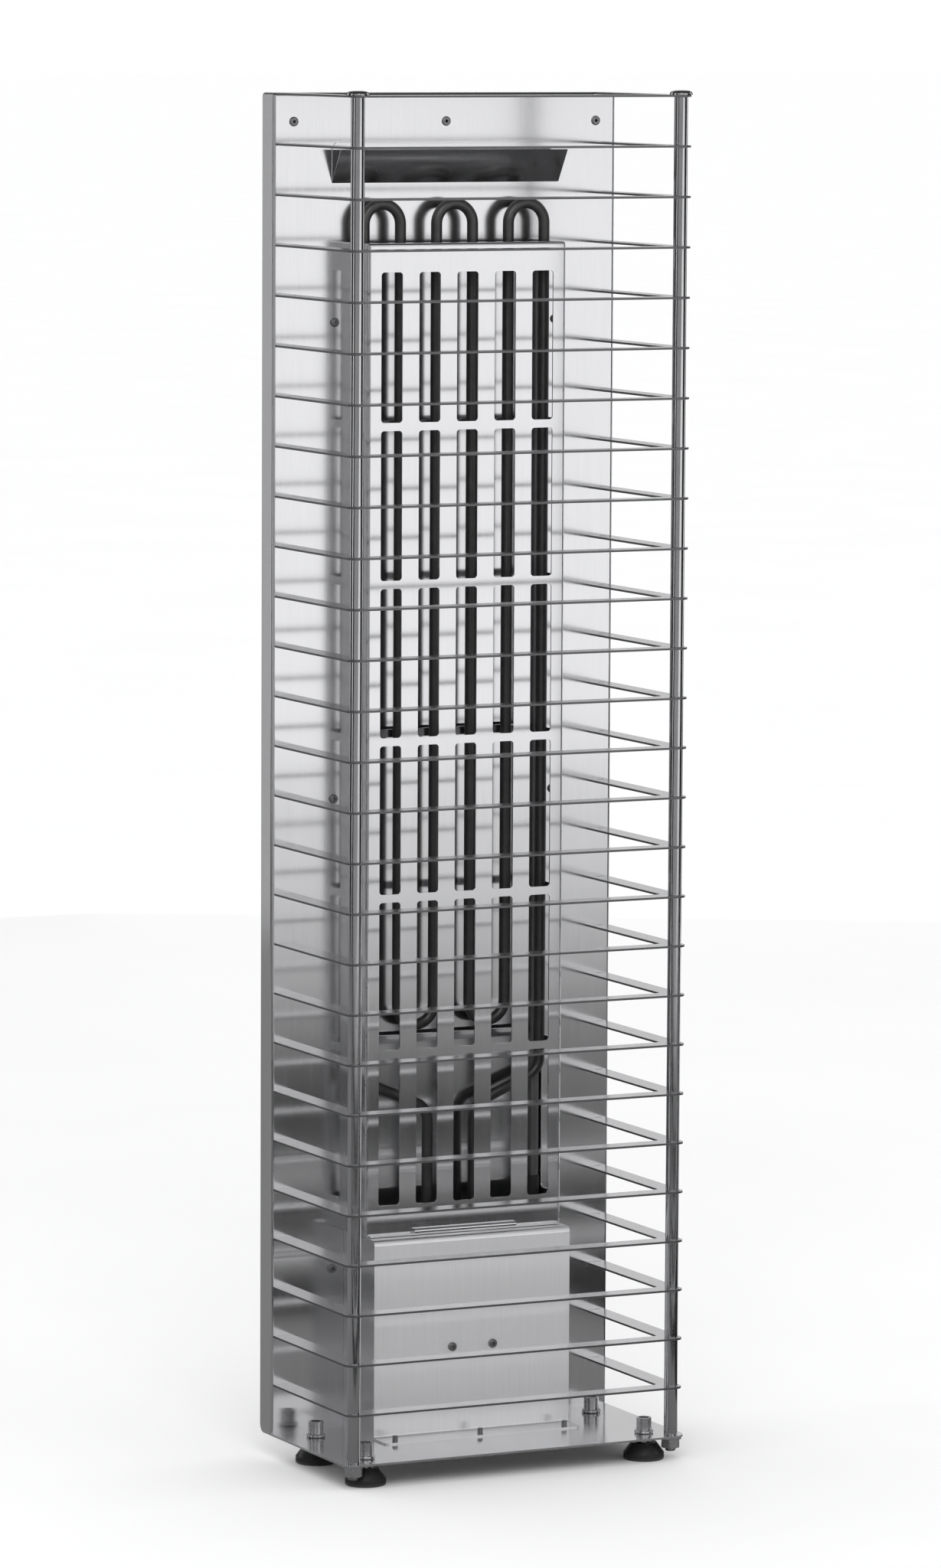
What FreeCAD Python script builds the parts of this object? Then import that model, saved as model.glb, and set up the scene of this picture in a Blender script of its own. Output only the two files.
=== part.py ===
import FreeCAD, Part
import math
import os
import re

import Sketcher

# An electric tower sauna heater without its stones. A folded back panel and base plate carry a
# slotted housing with the tubular heating element, a terminal box below it, and a cage of flat
# strips that hang on two posts and hold the stones. Millimetres, +Z up, front towards -Y.
#
# Every sub-part is drawn from the base plate's top (z = 0), the back panel's front face (y = 0)
# and the middle of the heater (x = 0). Its Placement then moves it to the heater's own origin,
# which is the middle of its footprint on the floor.

SIZES = {
    # back panel and base plate, folded from one sheet
    "panel_width": 278,
    "panel_sheet": 1.5,
    "panel_bend": 2.5,
    "flange_depth": 18.7,
    "base_reach": 133,
    "base_corner": 11,
    "floor_gap": 19,
    # cage of strips on two posts
    "strip_count": 27,
    "strip_sheet": 1.5,
    "strip_width": 15,
    "strip_overhang": 7.5,
    "strip_inner_corner": 3,
    "tab_width": 11.2,
    "tab_length": 3.5,
    "tab_clearance": 0.2,
    "spacer_length": 35,
    "spacer_diameter": 10,
    "post_diameter": 8,
    "post_spacing": 258.2,
    "post_reach": 124.2,
    "post_clearance": 0.15,
    "head_diameter": 16.8,
    "head_height": 3.4,
    "washer_diameter": 16,
    "washer_sheet": 1.6,
    "nut_flats": 13,
    "nut_height": 6.5,
    "nut_crown": 1.11,
    "nut_edge": 1,
    "post_end": 2.5,
    # levelling feet
    "foot_spacing": 227,
    "foot_front": 111.5,
    "foot_back": 25,
    "foot_stud": 8,
    "foot_stud_rise": 9,
    "foot_nut_height": 3.9,
    "foot_nut_clearance": 0.1,
    "foot_pad": 30,
    "foot_pad_top": 19,
    "foot_rim": 5,
    "foot_socket": 5,
    "insert_diameter": 11,
    "insert_height": 11.8,
    "insert_collar": 14,
    "insert_collar_height": 2.6,
    "insert_flange": 15,
    "insert_flange_sheet": 1,
    "thread_clearance": 0.05,
    # slotted element housing
    "housing_width": 160,
    "housing_depth": 38,
    "housing_height": 729,
    "housing_sheet": 1.2,
    "housing_bend": 2.2,
    "housing_lip": 12,
    "housing_gap": 0.3,
    "hook_width": 83,
    "hook_reach": 4.2,
    "hook_height": 4.4,
    "slot_width": 17.1,
    "slot_height": 109.3,
    "slot_radius": 2.5,
    "slot_columns": 5,
    "slot_rows": 6,
    "slot_spacing_across": 30.5,
    "slot_spacing_up": 115.2,
    "slot_start": 22.6,
    "side_slot_reach": 16,
    # tubular heating element and what holds it
    "element_diameter": 8.2,
    "leg_count": 6,
    "leg_spacing": 29.2,
    "element_top": 909,
    "element_bottom": 296.5,
    "knee_height": 261,
    "tail_height": 238,
    "tail_spacing": 38,
    "tail_end": 122,
    "bushing_diameter": 14,
    "bushing_height": 7,
    "bushing_thread": 11,
    "bushing_clearance": 0.02,
    "bushing_thread_length": 8,
    "bushing_nut": 15,
    "bushing_nut_height": 4,
    "bracket_count": 3,
    "bracket_start": 290,
    "bracket_spacing": 227,
    "bracket_height": 6,
    "bracket_sheet": 1.5,
    "bracket_left": 74,
    "bracket_right": 63,
    "bracket_clearance": 0.15,
    "sensor_diameter": 9,
    "sensor_wall": 0.8,
    "sensor_side": 72.5,
    "sensor_reach": 5.6,
    "sensor_gap": 0.8,
    "sensor_top": 866,
    "sleeve_diameter": 10.4,
    "sleeve_height": 34,
    # terminal box
    "cover_width": 160,
    "cover_reach": 54,
    "cover_height": 148,
    "cover_sheet": 1.2,
    "cover_bend": 4,
    "cover_flange": 21,
    "cover_top_depth": 21,
    "cover_gap": 0.2,
    "chassis_gap": 0.4,
    "screw_tab_drop": 8,
    "screw_thread": 4,
    "screw_head": 6.6,
    "screw_head_height": 2.2,
    "screw_recess": 3,
    "screw_tip": 3,
    "cover_screw_spacing": 33,
    "cover_screw_height": 65,
    "cover_screw_length": 8,
    "base_screw_spacing": 69.3,
    "base_screw_reach": 68,
    "base_screw_tip": 5.2,
    "block_length": 68,
    "block_depth": 20,
    "block_height": 24,
    "block_poles": 6,
    "well_diameter": 5,
    "well_depth": 7,
    "entry_diameter": 4.6,
    "entry_depth": 9,
    "groove_width": 1.6,
    "groove_depth": 4,
    "block_side": -24,
    "block_reach": 34,
    "limiter_width": 34,
    "limiter_depth": 28,
    "limiter_height": 30,
    "limiter_side": 48,
    "limiter_reach": 28,
    "limiter_nose": 10,
    "limiter_nose_show": 0.6,
    "limiter_corner": 3,
    "button_diameter": 6,
    "button_show": 3.5,
    "button_flange": 8,
    "button_flange_height": 1.8,
    "button_rest": 1.4,
    "button_chamber_floor": 1.2,
    "button_chamber_height": 5,
    "button_bore_top": 8,
    "button_edge": 0.8,
    "button_travel": 2,
    "button_clearance": 0.1,
    "gland_side": -52,
    "gland_height": 62,
    "gland_thread": 20,
    "gland_flats": 24,
    "gland_nose": 14,
    "gland_bore": 9.5,
    "gland_locknut": 4.5,
    "gland_locknut_gap": 0.1,
    "gland_thread_show": 2,
    "gland_step": 3,
    "gland_edge": 2.5,
    "lead_diameter": 3.4,
    "lead_bend": 9,
    "lead_level": 60,
    "lead_stagger": 12,
    "lead_fall": 26,
    "lead_in": 8,
    # on the back
    "rivet_side": 122.5,
    "rivet_drop": 20.8,
    "rivet_head": 7,
    "rivet_head_height": 1.1,
    "rivet_shank": 4,
    "rivet_bulb": 5.6,
    "rivet_bulb_height": 2.4,
    "rivet_hole": 2.3,
    "rivet_play": 0.1,
    "hole_play": 0.2,
    "rail_width": 262,
    "rail_height": 30,
    "rail_sheet": 1.5,
    "keyhole_spacing": 180,
    "keyhole_head": 10,
    "keyhole_neck": 5.5,
    "keyhole_rise": 9,
    "shield_width": 158,
    "shield_rim": 19,
    "shield_start": 90,
    "shield_height": 760,
    "shield_sheet": 1,
    "shield_depth": 14,
    "shield_screw_spacing": 179.2,
    "shield_screw_start": 120,
    "shield_screw_rise": 349.4,
    "deflector_width": 184,
    "deflector_sheet": 1,
    "deflector_height": 31,
    "deflector_start": 920,
    "deflector_corner": 8,
    "visor_reach": 15.6,
    "visor_rise": 24,
}

# Sizes worked out from the sheet's own, as expressions.
PITCH = "(spacer_length + strip_sheet)"
CAGE_TOP = f"(strip_count * {PITCH})"
SHIFT = "((base_reach - flange_depth) / 2)"
POST_X = "(post_spacing / 2)"
POST_HOLE = "(post_diameter + 2 * post_clearance)"
STRIP_OUT = f"({POST_X} + strip_overhang)"
STRIP_IN = f"({STRIP_OUT} - strip_width)"
TAB_OUT = f"({STRIP_IN} + tab_width)"
STRIP_FRONT = "(post_reach + strip_overhang)"
INSERT_BOTTOM = "(-panel_sheet - insert_flange_sheet)"
FOOT_X = "(foot_spacing / 2)"
FOOT_NUT_TOP = f"({INSERT_BOTTOM} - foot_nut_clearance)"
FOOT_PAD_RISE = f"({FOOT_NUT_TOP} - foot_nut_height)"
HOUSING_BOTTOM = "(cover_height + housing_gap)"
HOUSING_TOP = f"({HOUSING_BOTTOM} + housing_height)"
SLOT_LOW = f"({HOUSING_BOTTOM} + slot_start)"
CHASSIS_TOP = "(cover_height - cover_sheet - chassis_gap)"
CHASSIS_HALF = "(cover_width / 2 - cover_sheet - chassis_gap)"
RIVET_Z = f"({CAGE_TOP} - rivet_drop)"
RAIL_BACK = "flange_depth"
LEG_BEND = "(leg_spacing / 2)"
ELEMENT_REACH = "(sensor_reach + sensor_diameter / 2 + sensor_gap + element_diameter / 2)"
RIVET_SIDES = ("-rivet_side", "0", "rivet_side")
BASE_SCREW_SIDES = ("-base_screw_spacing", "0", "base_screw_spacing")

# How far a cut runs past the face that it starts or ends at.
PAST = "1"

doc = FreeCAD.newDocument("SaunaHeater")
sheet = doc.addObject("Spreadsheet::Sheet", "Sizes")
for row, (alias, size) in enumerate(SIZES.items(), start=1):
    sheet.set(f"A{row}", alias.replace("_", " "))
    sheet.set(f"B{row}", str(size))
    sheet.setAlias(f"B{row}", alias)
doc.recompute()

WORD = re.compile(r"[a-z_]+")
subparts = []


def link(expression):
    """Write an expression's size names as references to the sheet."""
    def refer(match):
        word = match.group()
        return f"Sizes.{word}" if word in SIZES else word

    return WORD.sub(refer, expression)


def number(expression):
    """The present value of an expression, in millimetres."""
    return float(sheet.evalExpression(link(expression)))


def bind(thing, prop, expression):
    """Bind a property of an object to an expression on the sheet."""
    thing.setExpression(prop, link(expression))


def keep(thing, label):
    """Count an object as a sub-part with the name of its node, and stand it in the heater's own frame."""
    thing.Label = label
    bind(thing, "Placement.Base.y", SHIFT)
    bind(thing, "Placement.Base.z", "floor_gap")
    subparts.append(thing)
    return thing


# ---------------------------------------------------------------- sketches and features

# A feature's axis, with the origin plane that it is drawn on and the sense of that plane's normal.
PLANES = {"x": ("YZ_Plane", 1), "y": ("XZ_Plane", -1), "z": ("XY_Plane", 1)}
AXES = {"x": FreeCAD.Vector(1, 0, 0), "y": FreeCAD.Vector(0, 1, 0), "z": FreeCAD.Vector(0, 0, 1)}
CLOSE = 0.05


def origin_feature(body, role):
    """One of a body's origin planes or axes."""
    return next(item for item in body.Origin.OriginFeatures if item.Role == role)


def new_body(name):
    """An empty body, which can hold separate solids."""
    body = doc.addObject("PartDesign::Body", name)
    body.AllowCompound = True
    return body


def new_sketch(body, name, axis, away):
    """An empty sketch across an axis, at a distance along it."""
    role, sense = PLANES[axis]
    sketch = body.newObject("Sketcher::SketchObject", name)
    sketch.AttachmentSupport = [(origin_feature(body, role), "")]
    sketch.MapMode = "FlatFace"
    bind(sketch, "AttachmentOffset.Base.z", away if sense > 0 else f"-({away})")
    return sketch


def fix_point(sketch, edge, end, across, up):
    """Hold a point of a sketch at two expressions."""
    for kind, expression in (("DistanceX", across), ("DistanceY", up)):
        index = sketch.addConstraint(Sketcher.Constraint(kind, -1, 1, edge, end, number(expression)))
        bind(sketch, f"Constraints[{index}]", expression)


def draw_outline(sketch, points):
    """Draw a closed outline of straight lines through points, each held by its expressions."""
    spots = [FreeCAD.Vector(number(across), number(up), 0) for across, up in points]
    first = sketch.GeometryCount
    for index, spot in enumerate(spots):
        sketch.addGeometry(Part.LineSegment(spot, spots[(index + 1) % len(spots)]))
    for index, (across, up) in enumerate(points):
        before = first + (index - 1) % len(spots)
        sketch.addConstraint(Sketcher.Constraint("Coincident", before, 2, first + index, 1))
        fix_point(sketch, first + index, 1, across, up)


def draw_rectangle(sketch, across, up):
    """Draw a rectangle between two pairs of expressions."""
    (left, right), (low, high) = across, up
    draw_outline(sketch, [(left, low), (right, low), (right, high), (left, high)])


def draw_circle(sketch, centre, diameter):
    """Draw a circle with its centre and diameter held by expressions."""
    spot = FreeCAD.Vector(number(centre[0]), number(centre[1]), 0)
    edge = sketch.addGeometry(Part.Circle(spot, FreeCAD.Vector(0, 0, 1), number(diameter) / 2))
    fix_point(sketch, edge, 3, *centre)
    index = sketch.addConstraint(Sketcher.Constraint("Diameter", edge, number(diameter)))
    bind(sketch, f"Constraints[{index}]", diameter)


def add_feature(body, name, sketch, axis, length, cut):
    """Pad or pocket a sketch along its axis, towards the axis's positive end."""
    kind = "PartDesign::Pocket" if cut else "PartDesign::Pad"
    feature = body.newObject(kind, name)
    feature.Profile = sketch
    bind(feature, "Length", length)
    normal_is_axis = PLANES[axis][1] > 0
    feature.Reversed = normal_is_axis == cut
    body.Tip = feature
    return feature


def prism(body, name, axis, span, draw, cut=False):
    """Add or cut a straight prism: draw puts its outline in a sketch across the axis."""
    low, high = span
    sketch = new_sketch(body, name + "Sketch", axis, low)
    draw(sketch)
    return add_feature(body, name, sketch, axis, f"({high}) - ({low})", cut)


def block(body, name, x, y, z, cut=False):
    """Add or cut a rectangular block between three pairs of expressions."""
    return prism(body, name, "z", z, lambda sketch: draw_rectangle(sketch, x, y), cut)


def rod(body, name, axis, span, centre, diameter, cut=False):
    """Add or cut a cylinder along an axis."""
    return prism(body, name, axis, span, lambda sketch: draw_circle(sketch, centre, diameter), cut)


def straight_edges(feature, axes, chosen):
    """Names of a feature's straight edges along any of the axes whose middle point is chosen."""
    doc.recompute()
    names = []
    for index, edge in enumerate(feature.Shape.Edges, start=1):
        if edge.Degenerated or not isinstance(edge.Curve, Part.Line):
            continue
        run = edge.Vertexes[-1].Point - edge.Vertexes[0].Point
        along = any(abs(run.dot(AXES[axis])) > 0.999 * run.Length for axis in axes)
        if run.Length > 1e-6 and along and chosen(edge.CenterOfGravity):
            names.append(f"Edge{index}")
    return names


def dress(body, name, edges, size, kind):
    """Round or chamfer a body's named edges."""
    if not edges:
        raise RuntimeError(f"{body.Name}.{name} found no edges")
    base = body.Tip
    feature = body.newObject(kind, name)
    feature.Base = (base, edges)
    bind(feature, "Radius" if kind == "PartDesign::Fillet" else "Size", size)
    body.Tip = feature
    return feature


def round_edges(body, name, radius, axes, chosen):
    """Round a body's chosen straight edges along one or more axes."""
    return dress(body, name, straight_edges(body.Tip, axes, chosen), radius, "PartDesign::Fillet")


def round_rims(body, name, radius, chosen, kind="PartDesign::Fillet"):
    """Round, or with another kind chamfer, a body's circular edges whose centre and radius are chosen."""
    doc.recompute()
    names = []
    for index, edge in enumerate(body.Tip.Shape.Edges, start=1):
        if edge.Degenerated or not isinstance(edge.Curve, Part.Circle):
            continue
        if chosen(edge.Curve.Center, edge.Curve.Radius):
            names.append(f"Edge{index}")
    return dress(body, name, names, radius, kind)


def repeat(body, name, feature, role, spacing, count, second=None):
    """Repeat a feature in a row along an origin axis, or in a grid with a second row."""
    pattern = body.newObject("PartDesign::LinearPattern", name)
    pattern.Originals = [feature]
    pattern.Direction = (origin_feature(body, role), [""])
    pattern.Mode = "Extent"
    bind(pattern, "Length", f"({spacing}) * (({count}) - 1)")
    bind(pattern, "Occurrences", count)
    if second:
        role, spacing, count = second
        pattern.Direction2 = (origin_feature(body, role), [""])
        pattern.Mode2 = "Extent"
        bind(pattern, "Length2", f"({spacing}) * (({count}) - 1)")
        bind(pattern, "Occurrences2", count)
    body.Tip = pattern
    return pattern


def near(value, expression):
    """Whether a coordinate is at an expression's value."""
    return abs(value - number(expression)) < CLOSE


def hexagon(name, flats, height):
    """A six-sided prism by its size across the flats."""
    prism_object = doc.addObject("Part::Prism", name)
    prism_object.Polygon = 6
    bind(prism_object, "Circumradius", f"({flats}) / sqrt(3)")
    bind(prism_object, "Height", height)
    return prism_object


def cylinder(name, diameter, height, x="0", y="0", z="0"):
    """A plain cylinder along Z."""
    thing = doc.addObject("Part::Cylinder", name)
    bind(thing, "Radius", f"({diameter}) / 2")
    bind(thing, "Height", height)
    for axis, expression in zip("xyz", (x, y, z)):
        bind(thing, f"Placement.Base.{axis}", expression)
    return thing


def place(thing, x, y, z):
    """Bind an object's place, given from the panel and base plate."""
    for axis, expression in zip("xyz", (x, y, z)):
        bind(thing, f"Placement.Base.{axis}", expression)
    return thing


def cut_out(name, base, tool):
    """One object with another taken away."""
    cut = doc.addObject("Part::Cut", name)
    cut.Base = base
    cut.Tool = tool
    return cut


def fuse(name, things):
    """Several overlapping objects made into one solid."""
    joined = doc.addObject("Part::MultiFuse", name)
    joined.Shapes = things
    joined.Refine = True
    return joined


def group(name, things):
    """Separate solids kept together in one object."""
    compound = doc.addObject("Part::Compound", name)
    compound.Links = things
    return compound


# ---------------------------------------------------------------- panel, rail, shield, deflector


def build_back_panel():
    """The back panel with its side and top flanges, and the base plate folded from its foot."""
    half = "panel_width / 2"
    body = new_body("BackPanel")
    block(body, "Face", (f"-{half}", half), ("0", "panel_sheet"), ("-panel_sheet", CAGE_TOP))
    block(body, "Base", (f"-{half}", half), ("-base_reach", "panel_sheet"), ("-panel_sheet", "0"))
    block(body, "TopFlange", (f"-{half}", half), ("0", "flange_depth"),
          (f"{CAGE_TOP} - panel_sheet", CAGE_TOP))
    block(body, "LeftFlange", (f"-{half}", f"panel_sheet - {half}"), ("0", "flange_depth"),
          ("-panel_sheet", CAGE_TOP))
    block(body, "RightFlange", (f"{half} - panel_sheet", half), ("0", "flange_depth"),
          ("-panel_sheet", CAGE_TOP))

    def on_outer_bend(p):
        at_side, at_top, at_face = near(abs(p.x), half), near(p.z, CAGE_TOP), near(p.y, "0")
        return p.z > 0 and (at_side + at_top + at_face) == 2

    round_edges(body, "OuterBends", "panel_bend", "xyz", on_outer_bend)
    round_edges(body, "BaseCorners", "base_corner", "z", lambda p: near(p.y, "-base_reach"))
    round_edges(body, "FlangeFeet", "flange_depth / 3", "x",
                lambda p: near(p.z, "-panel_sheet") and near(p.y, "flange_depth"))
    near_edge, far_edge = f"({STRIP_IN} - tab_clearance)", f"({TAB_OUT} + tab_clearance)"
    slot_rise = (f"{PITCH} - strip_sheet - tab_clearance", f"{PITCH} + tab_clearance")
    for name, span in (("Left", (f"-{far_edge}", f"-{near_edge}")), ("Right", (near_edge, far_edge))):
        slot = block(body, f"{name}TabSlot", span, (f"-{PAST}", "tab_length + tab_clearance"), slot_rise,
                     cut=True)
        repeat(body, f"{name}TabSlots", slot, "Z_Axis", PITCH, "strip_count")
    through_panel = (f"-{PAST}", f"panel_sheet + {PAST}")
    through_base = (f"-panel_sheet - {PAST}", PAST)
    for index, side in enumerate(RIVET_SIDES):
        rod(body, f"RivetHole{index}", "y", through_panel, (side, RIVET_Z), "rivet_shank + rivet_play",
            cut=True)
    for name, sign in (("Left", "-"), ("Right", "")):
        shield_x = f"{sign}shield_screw_spacing / 2"
        hole = rod(body, f"{name}ShieldHole", "y", through_panel, (shield_x, "shield_screw_start"),
                   "screw_thread + hole_play", cut=True)
        repeat(body, f"{name}ShieldHoles", hole, "Z_Axis", "shield_screw_rise", "3")
        rod(body, f"{name}PostHole", "z", through_base, (f"{sign}{POST_X}", "-post_reach"), POST_HOLE,
            cut=True)
        for place_name, reach in (("Front", "foot_front"), ("Back", "foot_back")):
            rod(body, f"{name}{place_name}InsertHole", "z", through_base, (f"{sign}{FOOT_X}", f"-{reach}"),
                "insert_diameter + hole_play", cut=True)
    for index, side in enumerate(BASE_SCREW_SIDES):
        rod(body, f"BaseScrewHole{index}", "z", through_base, (side, "-base_screw_reach"),
            "screw_thread + hole_play", cut=True)
    rod(body, "LimiterHole", "z", through_base, ("limiter_side", "-limiter_reach"),
        "limiter_nose + 1.5 * hole_play", cut=True)
    rod(body, "GlandHole", "y", through_panel, ("gland_side", "gland_height"),
        "gland_thread + 1.5 * hole_play", cut=True)
    return keep(body, "back_panel")


def build_hanging_rail():
    """The channel behind the panel's top, riveted at its front web and hung by its rear one."""
    half = "rail_width / 2"
    top = f"({RIVET_Z} + rail_height / 2)"
    low = f"({RIVET_Z} - rail_height / 2)"
    body = new_body("HangingRail")
    block(body, "FrontWeb", (f"-{half}", half), ("panel_sheet", "panel_sheet + rail_sheet"), (low, top))
    block(body, "TopWeb", (f"-{half}", half), ("panel_sheet", RAIL_BACK), (f"{top} - rail_sheet", top))
    block(body, "RearWeb", (f"-{half}", half), (f"{RAIL_BACK} - rail_sheet", RAIL_BACK), (low, top))
    round_edges(body, "Bends", "rail_sheet", "x",
                lambda p: near(p.z, top) and (near(p.y, "panel_sheet") or near(p.y, RAIL_BACK)))
    for index, side in enumerate(RIVET_SIDES):
        rod(body, f"RivetHole{index}", "y", (f"panel_sheet - {PAST}", f"panel_sheet + rail_sheet + {PAST}"),
            (side, RIVET_Z), "rivet_shank + rivet_play",
            cut=True)
    rear = (f"{RAIL_BACK} - rail_sheet - {PAST}", f"{RAIL_BACK} + {PAST}")
    seat = f"({RIVET_Z} - keyhole_rise / 2)"
    for name, sign in (("Left", "-"), ("Right", "")):
        side = f"{sign}keyhole_spacing / 2"
        end = f"{seat} + keyhole_rise"
        neck = (f"{side} - keyhole_neck / 2", f"{side} + keyhole_neck / 2")
        rod(body, f"{name}KeyholeHead", "y", rear, (side, seat), "keyhole_head", cut=True)
        block(body, f"{name}KeyholeNeck", neck, rear, (seat, end), cut=True)
        rod(body, f"{name}KeyholeEnd", "y", rear, (side, end), "keyhole_neck", cut=True)
    return keep(body, "hanging_rail")


def build_rivets():
    """Three blind rivets through the panel and the rail."""
    body = new_body("RailRivets")
    back = "panel_sheet + rail_sheet"
    for index, side in enumerate(RIVET_SIDES):
        spot = (side, RIVET_Z)
        rod(body, f"Head{index}", "y", ("-rivet_head_height", "0"), spot, "rivet_head")
        rod(body, f"Shank{index}", "y", ("-rivet_head_height", f"{back} + rivet_bulb_height"), spot,
            "rivet_shank")
        rod(body, f"Bulb{index}", "y", (back, f"{back} + rivet_bulb_height"), spot, "rivet_bulb")
    round_rims(body, "HeadEdges", "rivet_head_height * 0.8",
               lambda c, r: near(c.y, "-rivet_head_height") and near(r, "rivet_head / 2"))
    through = (f"-rivet_head_height - {PAST}", f"{back} + rivet_bulb_height + {PAST}")
    for index, side in enumerate(RIVET_SIDES):
        rod(body, f"Hole{index}", "y", through, (side, RIVET_Z), "rivet_hole", cut=True)
    return keep(body, "rail_rivets")


def build_heat_shield():
    """The hat-section plate that keeps an air gap between the hot panel and the wall."""
    half = "shield_width / 2"
    wide = f"({half} + shield_rim)"
    front = "panel_sheet"
    back = "(panel_sheet + shield_depth)"
    rise = ("shield_start", "shield_start + shield_height")
    body = new_body("HeatShield")
    block(body, "Web", (f"-{half}", half), (f"{back} - shield_sheet", back), rise)
    for name, sign in (("Left", "-"), ("Right", "")):
        inner, outer = f"{sign}({half} - shield_sheet)", f"{sign}{half}"
        edge = f"{sign}{wide}"
        legs = (outer, inner) if sign else (inner, outer)
        rims = (edge, inner) if sign else (inner, edge)
        block(body, f"{name}Leg", legs, (front, back), rise)
        block(body, f"{name}Rim", rims, (front, f"{front} + shield_sheet"), rise)
        hole = rod(body, f"{name}Hole", "y", (f"{front} - {PAST}", f"{front} + shield_sheet + {PAST}"),
                   (f"{sign}shield_screw_spacing / 2", "shield_screw_start"), "screw_thread + hole_play",
                   cut=True)
        repeat(body, f"{name}Holes", hole, "Z_Axis", "shield_screw_rise", "3")
    round_edges(body, "WebBends", "shield_sheet", "z", lambda p: near(abs(p.x), half) and near(p.y, back))
    return keep(body, "rear_heat_shield")


def pan_screw(name, length):
    """A pan-head screw along Z with its head's underside at 0, the head above and the thread below."""
    body = new_body(name)
    rod(body, "Thread", "z", (f"-({length})", "0"), ("0", "0"), "screw_thread")
    rod(body, "Head", "z", ("0", "screw_head_height"), ("0", "0"), "screw_head")
    round_rims(body, "HeadEdge", "screw_head_height * 0.6",
               lambda c, r: near(c.z, "screw_head_height") and near(r, "screw_head / 2"))
    arm = ("-screw_recess / 2", "screw_recess / 2")
    slim = ("-screw_recess / 8", "screw_recess / 8")
    depth = ("screw_head_height * 0.4", f"screw_head_height + {PAST}")
    block(body, "RecessAcross", arm, slim, depth, cut=True)
    block(body, "RecessAlong", slim, arm, depth, cut=True)
    round_rims(body, "Tip", "screw_thread / 8", lambda c, r: near(c.z, f"-({length})"),
               "PartDesign::Chamfer")
    return body


FACING_FRONT = FreeCAD.Rotation(FreeCAD.Vector(1, 0, 0), 90)
FACING_DOWN = FreeCAD.Rotation(FreeCAD.Vector(1, 0, 0), 180)


def copies(name, source, places, turn):
    """Turned copies of an object at several places, as separate solids of one object."""
    links = []
    for index, (x, y, z) in enumerate(places):
        link_object = doc.addObject("App::Link", f"{name}{index}")
        link_object.LinkedObject = source
        link_object.LinkTransform = False
        link_object.Placement = FreeCAD.Placement(FreeCAD.Vector(), turn)
        for axis, expression in zip("xyz", (x, y, z)):
            bind(link_object, f"Placement.Base.{axis}", expression)
        links.append(link_object)
    return links


def build_shield_screws():
    """Six screws through the panel into the heat shield's rims."""
    screw = pan_screw("ShieldScrew", "panel_sheet + shield_sheet + screw_tip")
    places = [(f"{sign}shield_screw_spacing / 2", "0", f"shield_screw_start + {level} * shield_screw_rise")
              for sign in ("-", "") for level in range(3)]
    screws = copies("ShieldScrewAt", screw, places, FACING_FRONT)
    return keep(group("ShieldScrews", screws), "shield_screws")


def build_deflector():
    """The folded vane on the panel above the element, which turns the rising air forward."""
    half = "deflector_width / 2"
    base = "deflector_start"
    top = f"({base} + deflector_height)"
    steep = "sqrt(visor_reach ^ 2 + visor_rise ^ 2)"
    lip = f"(deflector_sheet * {steep} / visor_rise)"
    fold = f"({base} + deflector_sheet * ({steep} + visor_reach) / visor_rise)"
    outline = [("0", base), ("0", top), ("-deflector_sheet", top), ("-deflector_sheet", fold),
               (f"{lip} - visor_reach", f"{base} + visor_rise"), ("-visor_reach", f"{base} + visor_rise")]
    body = new_body("Deflector")
    prism(body, "Vane", "x", (f"-{half}", half), lambda sketch: draw_outline(sketch, outline))
    round_edges(body, "TopCorners", "deflector_corner", "y", lambda p: near(p.z, top))
    return keep(body, "air_deflector")


# ---------------------------------------------------------------- cage


def strip_body(label, level):
    """One flat strip of the cage: front band, two arms, and tabs that pass through the panel."""
    bottom = f"({level} * {PITCH} - strip_sheet)"
    top = f"({level} * {PITCH})"
    body = new_body(label.title().replace("_", ""))
    block(body, "Outer", (f"-{STRIP_OUT}", STRIP_OUT), (f"-{STRIP_FRONT}", "0"), (bottom, top))
    block(body, "Inside", (f"-{STRIP_IN}", STRIP_IN), (f"strip_width - {STRIP_FRONT}", PAST),
          (bottom, top), cut=True)
    for name, span in (("Left", (f"-{TAB_OUT}", f"-{STRIP_IN}")), ("Right", (STRIP_IN, TAB_OUT))):
        block(body, f"{name}Tab", span, (f"-{PAST}", "tab_length"), (bottom, top))
    round_edges(body, "OuterCorners", "strip_overhang", "z", lambda p: near(p.y, f"-{STRIP_FRONT}"))
    round_edges(body, "InnerCorners", "strip_inner_corner", "z",
                lambda p: near(p.y, f"strip_width - {STRIP_FRONT}"))
    for name, sign in (("Left", "-"), ("Right", "")):
        rod(body, f"{name}Hole", "z", (bottom, top), (f"{sign}{POST_X}", "-post_reach"), POST_HOLE,
            cut=True)
    return keep(body, label)


def build_cage():
    """All the strips, numbered from the bottom."""
    for level in range(1, SIZES["strip_count"] + 1):
        strip_body(f"cage_strip_{level:02d}", level)


def build_posts():
    """The two rods through the strips, with a domed head on top and a threaded end below."""
    low = "(-panel_sheet - washer_sheet - nut_height - post_end)"
    for side, sign in (("left", "-"), ("right", "")):
        spot = (f"{sign}{POST_X}", "-post_reach")
        body = new_body(side.title() + "Post")
        rod(body, "Rod", "z", (low, CAGE_TOP), spot, "post_diameter")
        rod(body, "Head", "z", (CAGE_TOP, f"{CAGE_TOP} + head_height"), spot, "head_diameter")
        round_rims(body, "Dome", "head_height * 0.94",
                   lambda c, r: near(c.z, f"{CAGE_TOP} + head_height") and near(r, "head_diameter / 2"))
        round_rims(body, "EndChamfer", "post_diameter / 10", lambda c, r: near(c.z, low),
                   "PartDesign::Chamfer")
        keep(body, f"{side}_post")


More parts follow.
